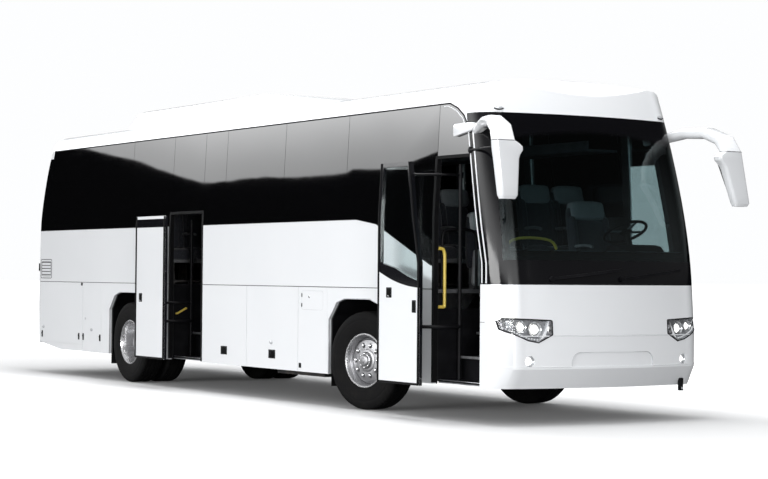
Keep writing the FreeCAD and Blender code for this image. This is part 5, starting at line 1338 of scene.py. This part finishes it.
def tail_trim():
    """Round lamps in both clusters, reflectors, louvre blades, handle and screen edge."""
    piece = Piece("tail_lamp_trim", "root", CHROME, RED, AMBER, WHITE_LENS, SEAL)
    for side in SIDES.values():
        for z, lens in ((1.07, 3), (1.20, 1), (1.335, 1), (1.47, 2)):
            place = facing(*tail_point(side * 1.03, z, 0.001))
            piece.add(spun([(0.0, 0.060), (0.006, 0.058), (0.008, 0.053), (0.004, 0.050)], 36), 0, place)
            piece.add(spun([(0.003, 0.051), (0.008, 0.044), (0.011, 0.028), (0.012, 0.0)]), lens, place)
        corners = [(0.925, 0.975, 0), (1.135, 0.975, 0), (1.135, 1.565, 0), (0.925, 1.565, 0)]
        corners = divided(rounded_outline(corners, 0.02), 0.05)
        loop = [tail_point(side * y, z, 0.0005)[0] for y, z, _ in corners]
        piece.add(pipe(loop, 0.005, closed=True), 4)
        place = facing(*tail_point(side * 0.95, 0.66))
        piece.add(block((-0.002, -0.06, -0.025), (0.007, 0.06, 0.025), 0.003), 1, place)
        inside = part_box("rear_lamps")[1].x
        low, high = sorted((side * 0.90, side * 1.16))
        piece.add(block((inside + 0.002, low, 0.95), (inside + 0.012, high, 1.59), 0.003), 4)
    line = [tail_point(-1.12 + 2.24 * k / 28, BELT + 0.001, 0.0)[0] for k in range(29)]
    piece.add(pipe(line, 0.005), 4)
    piece.done("lamp_red")

    door = Piece("engine_door_trim", "engine_door", BLACK, CHROME, DARK_HOLE)
    for row in range(8):
        top = 1.640 - 0.058 * row
        across = [-0.556 + 1.112 * k / 14 for k in range(15)]
        points = [(tail_point(y, top + 0.012)[0].x - 0.002, y, top - 0.012) for y in across]
        door.add(swept(points, (0.004, 0, 0.010), (-0.001, 0, 0.0016)), 0)
        # Near-black strips between the blades: painted shade behind the louvres
        gap_shade = [(x + 0.0015, y, z - 0.006) for x, y, z in points]
        door.add(swept(gap_shade, (0.0012, 0, 0.0), (0, 0, 0.011)), 2)
    place = facing(*tail_point(0.0, 1.06))
    door.add(block((-0.002, -0.09, -0.03), (0.005, 0.09, 0.03), 0.004, 3), 0, place)
    door.add(block((0.003, -0.07, 0.0), (0.014, 0.07, 0.018), 0.004, 3), 0, place)
    door.add(rod((0.0, 0.0, -0.014), (0.009, 0.0, -0.014), 0.009, 16, bevel=0.001), 1, place)
    door.done("black_trim")


# Roof
def roof_unit():
    """Roof unit: housing with sloping sides, four fan openings under wire guards, each floored with a near-black
    disc as painted shade.
    """
    low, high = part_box("air_conditioner")
    deck = high.z - 0.022
    crest = deck - low.z - 0.02
    piece = Piece("roof_unit", "root", PAINT, DARK_HOLE, BLACK, EDGE_GREY)
    rings = []
    for x, rise, inset in ((low.x, 0.0, 0.10), (low.x + 0.05, 0.09, 0.03), (low.x + 0.18, 0.17, 0.008),
                           (low.x + 0.34, crest, 0.0), (high.x - 0.52, crest, 0.0),
                           (high.x - 0.22, 0.13, 0.01), (high.x - 0.06, 0.045, 0.04), (high.x, 0.0, 0.12)):
        half = 0.9 - inset
        rise = max(rise, 0.012) + 0.02
        edge = [(-half, 0.0), (-half + 0.006, rise * 0.35), (-half + 0.075, rise * 0.92),
                (-half + 0.13, rise)]
        section = edge + [(0.0, rise)] + [(-y, z) for y, z in edge[::-1]]
        rings.append([Vector((x, y, low.z + z)) for y, z in section])
    piece.add(lofted(rings), 0)
    fans = [Vector((FRONT_AXLE - 4.55 + (k - 1.5) * 0.78, 0, 0)) for k in range(4)]
    upright = Matrix.Rotation(math.radians(90), 4, "X")
    places = [Matrix.Translation(fan_place) for fan_place in fans]
    collar = turned([(deck - 0.02, 0.285), (deck + 0.014, 0.277), (deck + 0.018, 0.268),
                     (deck + 0.014, 0.260), (deck + 0.002, 0.258)], 64)
    piece.add(collar, 0, [place @ upright for place in places])
    # Near-black disc in each fan opening: painted shade of the fan's inside
    piece.add(rod((0, 0, deck - 0.01), (0, 0, deck + 0.002), 0.26, 64), 1, places)
    for radius in (0.05, 0.09, 0.13, 0.17, 0.21, 0.25):
        loop = [(x, y, high.z - 0.006) for x, y in arc(radius, 0, math.tau, 36, False)]
        piece.add(pipe(loop, 0.0032, closed=True, turns=2), 2, places)
    foot = UP * (high.z - 0.008)
    for x, y in arc(1, 0, math.tau, 12, False):
        across = Vector((x, y, 0))
        piece.add(rod(foot + across * 0.045, foot + across * 0.262, 0.003, 8), 2, places)
    piece.add(rod((0, 0, deck), (0, 0, high.z - 0.003), 0.05, 28, bevel=0.004), 2, places)
    blade = slab([(0.05, -0.03, -0.004), (0.235, -0.075, -0.005), (0.24, 0.055, 0.003), (0.05, 0.03, 0.003)],
                 (0, 0, -0.002))
    blades = [place @ Matrix.Translation((0, 0, deck + 0.008)) @ Matrix.Rotation(math.tau * i / 5, 4, "Z")
              for place in places for i in range(5)]
    piece.add(blade, 3, blades)
    piece.done("body_paint", "air_conditioner")


def hatch_trim():
    """Ribs and seals of the two roof hatches."""
    for name in ("roof_hatch_front", "roof_hatch_rear"):
        low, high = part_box(name)
        lid = Piece(f"{name}_trim", name, SEAL, PAINT, BLACK)

        def top(x, y):
            return skin_point((name,), (x, y, 5), (0, 0, -1))[0]

        for k in range(5):
            length = high.x - low.x - 0.16
            points = [top(low.x + 0.08 + length * i / 4, -0.24 + k * 0.12) - UP * 0.002 for i in range(5)]
            lid.add(pipe(points, 0.010), 1)
        x0, y0, x1, y1 = low.x + 0.012, low.y + 0.012, high.x - 0.012, high.y - 0.012
        corners = rounded_outline([(x0, y0, 0), (x1, y0, 0), (x1, y1, 0), (x0, y1, 0)], 0.03)
        lid.add(pipe([top(x, y) for x, y, _ in divided(corners, 0.06)], 0.006, closed=True), 0)
        lid.done("body_paint")


# Inside
SEAT_PITCH = 0.77
SEAT_ROWS = 11
FIRST_ROW = 4.01
SEAT_SIDES = (0.485, 0.935, -0.485, -0.935)
DRIVER = (4.75, 0.62)
FOLDING_SEAT = (4.03, -0.43)


def seat_shapes(width):
    """One reclining seat about its own hinge point: pads, bolsters, head cover, arm rests and foot."""
    half = width / 2
    tilt = Matrix.Rotation(math.radians(-10.5), 4, "Y")
    back = Matrix.Translation((-0.16, 0, 0.42)) @ tilt
    pads = [(cushion((-0.15, -half, 0.335), (0.225, half, 0.445), 0.016), Matrix()),
            (cushion((0.15, -half + 0.01, 0.315), (0.228, half - 0.01, 0.425), 0.012, 4), Matrix()),
            (cushion((-0.03, -half + 0.05, 0.03), (0.055, half - 0.05, 0.50), 0.014), back),
            (cushion((-0.045, -half, 0.0), (0.035, half, 0.66), 0.008, 6), back)]
    for side in (-1, 1):
        low, high = sorted((side * (half - 0.065), side * half))
        pads.append((cushion((-0.03, low, 0.04), (0.075, high, 0.54), 0.008, 4), back))
        pads.append((cushion((-0.10, low, 0.40), (0.22, high, 0.465), 0.006, 4), Matrix()))
    pads.append((cushion((-0.035, -half + 0.04, 0.52), (0.05, half - 0.04, 0.69), 0.012, 5), back))
    cover = (cushion((-0.05, -half + 0.03, 0.505), (0.058, half - 0.03, 0.703), 0.010, 5), back)
    rigid = [(slab(rounded_outline([(-0.050, -half + 0.01, 0.02), (-0.050, half - 0.01, 0.02),
                                    (-0.050, half - 0.03, 0.50), (-0.050, -half + 0.03, 0.50)], 0.05),
                   (0.02, 0, 0), 0.005), back),
             (block((-0.13, -half + 0.02, 0.27), (0.20, half - 0.02, 0.335), 0.015), Matrix())]
    for side in (-1, 1):
        y = side * (half - 0.018)
        rest = [(-0.17, y, 0.64), (-0.05, y, 0.655), (0.10, y, 0.65), (0.15, y, 0.635)]
        rigid.append((pipe(rest, 0.017, curved=True), Matrix()))
        rigid.append((rod((-0.16, y, 0.42), (-0.16, y, 0.64), 0.013, 12), Matrix()))
    return pads, cover, rigid


def seats():
    """Paired reclining seats in rows, the guide's seat by the front steps and the driver's seat."""
    places = []
    for row in range(SEAT_ROWS):
        x = FIRST_ROW - SEAT_PITCH * row
        for y in SEAT_SIDES:
            if y < 0 and (row == 0 or -1.775 < x < -0.405):
                continue
            places.append(Matrix.Translation((x, y, FLOOR)))
    cloth = Piece("seat_pads", "root", CLOTH)
    covers = Piece("seat_head_covers", "root", COVER, PALE)
    frames = Piece("seat_frames", "root", GREY, CHASSIS, PALE)
    for width, spots in ((0.44, places), (0.49, [Matrix.Translation((*DRIVER, PLATFORM))])):
        pads, cover, rigid = seat_shapes(width)
        for piece, shapes in ((cloth, pads), (covers, [cover]), (frames, rigid)):
            for shape, place in shapes:
                piece.add(shape, 0, [spot @ place for spot in spots])
    for spot in places[::2]:
        x = spot.translation.x
        between = math.copysign(0.71, spot.translation.y)
        for dx in (-0.1, 0.14):
            frames.add(block((x + dx - 0.02, between - 0.30, FLOOR + 0.02),
                             (x + dx + 0.02, between + 0.30, FLOOR + 0.05), 0.006), 1)
        for y in (between - 0.28, between + 0.28):
            leg = ((-0.12, 0.002), (0.16, 0.002), (0.10, 0.29), (-0.06, 0.29))
            frames.add(slab([(x + dx, y, FLOOR + dz) for dx, dz in leg], (0, 0.02, 0), 0.004), 1)
    frames.add(block((4.58, 0.42, PLATFORM + 0.002), (4.95, 0.82, PLATFORM + 0.06), 0.012), 1)
    pedestal = ((*DRIVER, PLATFORM + 0.05), (*DRIVER, PLATFORM + 0.28))
    frames.add(rod(*pedestal, 0.11, 28, 0.09, bevel=0.004), 1)
    guide = Matrix.Translation((*FOLDING_SEAT, FLOOR))
    cloth.add(cushion((-0.05, -0.135, 0.20), (0.02, 0.135, 0.79), 0.01, 5, 4), 0, guide)
    covers.add(cushion((-0.056, -0.12, 0.60), (0.03, 0.12, 0.795), 0.008, 5, 4), 1, guide)
    folded = rounded_outline([(0.055, -0.13, 0.03), (0.055, 0.13, 0.03), (0.025, 0.085, 0.41),
                              (0.025, -0.085, 0.41)], 0.04)
    frames.add(slab(folded, (0.04, 0, 0), 0.008), 2, guide)
    frames.add(block((-0.03, -0.10, 0.002), (0.05, 0.10, 0.22), 0.01), 0, guide)
    cloth.done("grey_fabric", "seats", angle=50.0)
    covers.done("grey_fabric", angle=50.0)
    frames.done("grey_fabric")


def driver_place():
    """Steering wheel, instrument hood, switches, gear lever and ribs of the dashboard."""
    joint = JOINTS["steering_wheel_turn"]
    axis = Vector(joint["axis"]).normalized()
    across = Vector((0, 1, 0))
    turn = Matrix((across, axis, across.cross(axis))).transposed()
    place = Matrix.Translation(joint["pos_m"]) @ turn.to_4x4()
    wheel = Piece("steering_wheel_dressed", "steering_wheel", BLACK, GREY, CHROME)
    rim = [(x, 0.0, z) for x, z in arc(0.222, 0, math.tau, 48, False)]
    wheel.add(pipe(rim, 0.0155, closed=True, curved=True), 0, place)
    spoke = slab([(0.04, -0.006, -0.024), (0.215, -0.001, -0.014), (0.215, -0.001, 0.014),
                  (0.04, -0.006, 0.024)], (0, 0.010, 0), 0.003)
    wheel.add(spoke, 1, [place @ Matrix.Rotation(math.radians(a), 4, "Y") for a in (0, 180, 270)])
    boss = [(-0.022, 0.0), (-0.022, 0.045), (-0.006, 0.068), (0.012, 0.062), (0.017, 0.045), (0.019, 0.0)]
    wheel.add(turned(boss, 40), 0, place)
    wheel.done("black_trim", "steering_wheel")

    desk = Piece("dashboard_trim", "root", BLACK, GREY, DARK_HOLE, WHITE_LENS, CHROME)
    hood = [(5.20, 1.665), (5.17, 1.70), (5.19, 1.745), (5.27, 1.762), (5.38, 1.745), (5.44, 1.69)]
    desk.add(slab([(x, 0.34, z) for x, z in hood], (0, 0.56, 0), 0.012, 3), 0)
    desk.add(slab([(5.176, 0.37, 1.69), (5.182, 0.37, 1.742), (5.182, 0.87, 1.742), (5.176, 0.87, 1.69)],
                  (-0.003, 0, 0)), 2)
    for y, radius in ((0.50, 0.034), (0.62, 0.026), (0.74, 0.034)):
        dial = [(0.0, radius), (0.004, radius), (0.005, radius - 0.004), (0.002, radius - 0.005),
                (0.002, 0.0)]
        desk.add(spun(dial), 3, facing(Vector((5.172, y, 1.716)), (-1, 0, 0.05)))
    for front, z in ((5.118, 1.56), (5.116, 1.515)):
        for k in range(8):
            y = -0.28 + k * 0.06
            desk.add(block((front, y, z), (5.14, y + 0.045, z + 0.03), 0.004), 1)
    for k in range(7):
        y = -1.0 + k * 0.33
        # Near-black block under each row of bars: painted shade inside the vent opening
        desk.add(block((5.28, y - 0.12, 1.665), (5.46, y + 0.12, 1.682), 0.006), 2)
        for bar in range(5):
            x = 5.30 + bar * 0.034
            desk.add(block((x, y - 0.11, 1.676), (x + 0.008, y + 0.11, 1.686), 0.002), 1)
    lever = [(4.98, 0.22, PLATFORM + 0.02), (4.985, 0.22, 1.3), (4.96, 0.215, 1.5)]
    desk.add(pipe(lever, 0.012, curved=True), 1)
    desk.add(ball((4.957, 0.215, 1.52), (0.028, 0.028, 0.034), 20), 0)
    for y in (0.50, 0.62, 0.76):
        desk.add(block((5.0, y - 0.03, 1.16), (5.06, y + 0.03, 1.26), 0.008), 0)
    desk.done("black_trim")


# Stage, light and camera
CAMERA_PLACE = Vector((21.015, -12.19, 1.44))
CAMERA_TURN = 58.02
CAMERA_TILT = 1.0
CAMERA_ROLL = 0.48
LENS = 93.05
SENSOR = 36.0


def stage():
    """Pale floor that keeps the shadow and fades into the pale background. Away from the coach it carries a
    painted glow, seen only by the camera.
    """
    finish = Finish("pale_floor")
    seen = finish.node("ShaderNodeLightPath", {}, {}, "Is Camera Ray")
    colour = finish.mix((0.16, 0.16, 0.162), (0.62, 0.623, 0.627), seen)
    ground = finish.skin(Base_Color=colour, Roughness=0.8, Specular_IOR_Level=0.1)
    _, x, y, _ = finish.place()
    # Camera rays see a glow that grows with distance from the coach: painted light that whitens the far floor and
    # its long shadows
    away = (x * x * 0.45 + y * y * 2.5).rise(14.0, 110.0)
    glow = {"Color": (1, 1, 1), "Strength": seen * (0.025 + away * 0.75)}
    lift = finish.node("ShaderNodeEmission", {}, glow)
    mesh = bpy.data.meshes.new("floor")
    shape = bmesh.new()
    bmesh.ops.create_grid(shape, x_segments=1, y_segments=1, size=260.0)
    shape.to_mesh(mesh)
    shape.free()
    mesh.materials.append(finish.done(finish.node("ShaderNodeAddShader", {}, {0: ground, 1: lift})))
    put("floor", mesh)


def sky():
    """Even light from all round, pale to the eye. Glass mirrors a dark hill line under a bright band."""
    world = bpy.data.worlds.new("studio")
    bpy.context.scene.world = world
    finish = Finish("studio", world)
    spot, east, north, height = finish.place("Generated")
    seen, through, mirrored = (finish.node("ShaderNodeLightPath", {}, {}, f"Is {ray} Ray")
                               for ray in ("Camera", "Transmission", "Glossy"))
    bearing = north / east - 0.495
    climb = bearing.size() * 0.12
    hill = climb.combine("MINIMUM", climb, 0.0145 + (bearing < 0) * 0.0155)
    above = height - (0.091 + hill + finish.noise(spot, 28.0, 4.0) * 0.006)
    bright = above.rise(-0.0006, 0.0006) * (1.7 + above.rise(0.0, 0.05) * 2.4)
    band = 0.004 + bright * (1 - height.rise(0.2, 0.42) * 0.85) * (1 - north.rise(0.0, 0.25) * 0.94)
    level = mirrored * band + (1 - mirrored) * (0.20 + height.rise(0.0, 0.5) * 0.62)
    plain = seen.at_least(through)
    glow = {"Color": (0.985, 0.992, 1.0), "Strength": plain + (1 - plain) * level}
    finish.done(finish.node("ShaderNodeBackground", {}, glow))


def lamp(name, place, target, size, power):
    data = bpy.data.lights.new(name, "AREA")
    data.shape = "RECTANGLE"
    data.size, data.size_y = size
    data.energy = power
    holder = put(name, data)
    holder.location = place
    aim = Vector(target) - Vector(place)
    holder.rotation_mode = "QUATERNION"
    holder.rotation_quaternion = aim.to_track_quat("-Z", "Y")


def camera():
    turn, tilt, roll = (math.radians(a) for a in (CAMERA_TURN, CAMERA_TILT, CAMERA_ROLL))
    right = Vector((math.cos(turn), math.sin(turn), 0))
    ahead = Vector((-math.sin(turn), math.cos(turn), 0))
    view = ahead * math.cos(tilt) + UP * math.sin(tilt)
    top = UP * math.cos(tilt) - ahead * math.sin(tilt)
    across = right * math.cos(roll) + top * math.sin(roll)
    over = top * math.cos(roll) - right * math.sin(roll)
    data = bpy.data.cameras.new("camera")
    data.lens = LENS
    data.sensor_width = SENSOR
    data.clip_end = 900
    holder = put("camera", data)
    axes = Matrix((across, over, -view)).transposed().to_4x4()
    holder.matrix_world = Matrix.Translation(CAMERA_PLACE) @ axes
    bpy.context.scene.camera = holder


bpy.context.scene.view_settings.view_transform = "Standard"
camera()
stage()
sky()
lamp("key", (4.0, -25.0, 3.4), (0.0, 0.0, 1.6), (20.0, 4.0), 4200)
lamp("fill", (19.5, -8.0, 2.2), (5.0, 0.0, 1.6), (5.0, 2.6), 1000)
lamp("top", (0.3, -0.2, 10.0), (0.3, -0.2, 0.0), (12.0, 3.0), 1900)
for dress in (dress_nodes, tyres, wheels, headlamps, bumper_trim, roof_markers, mirrors, door_trims,
              upper_arms, doorway_seals, hand_rails, step_nosings, flap_handles, side_trim, mud_flaps,
              tail_trim, roof_unit, hatch_trim, seats, driver_place):
    dress()
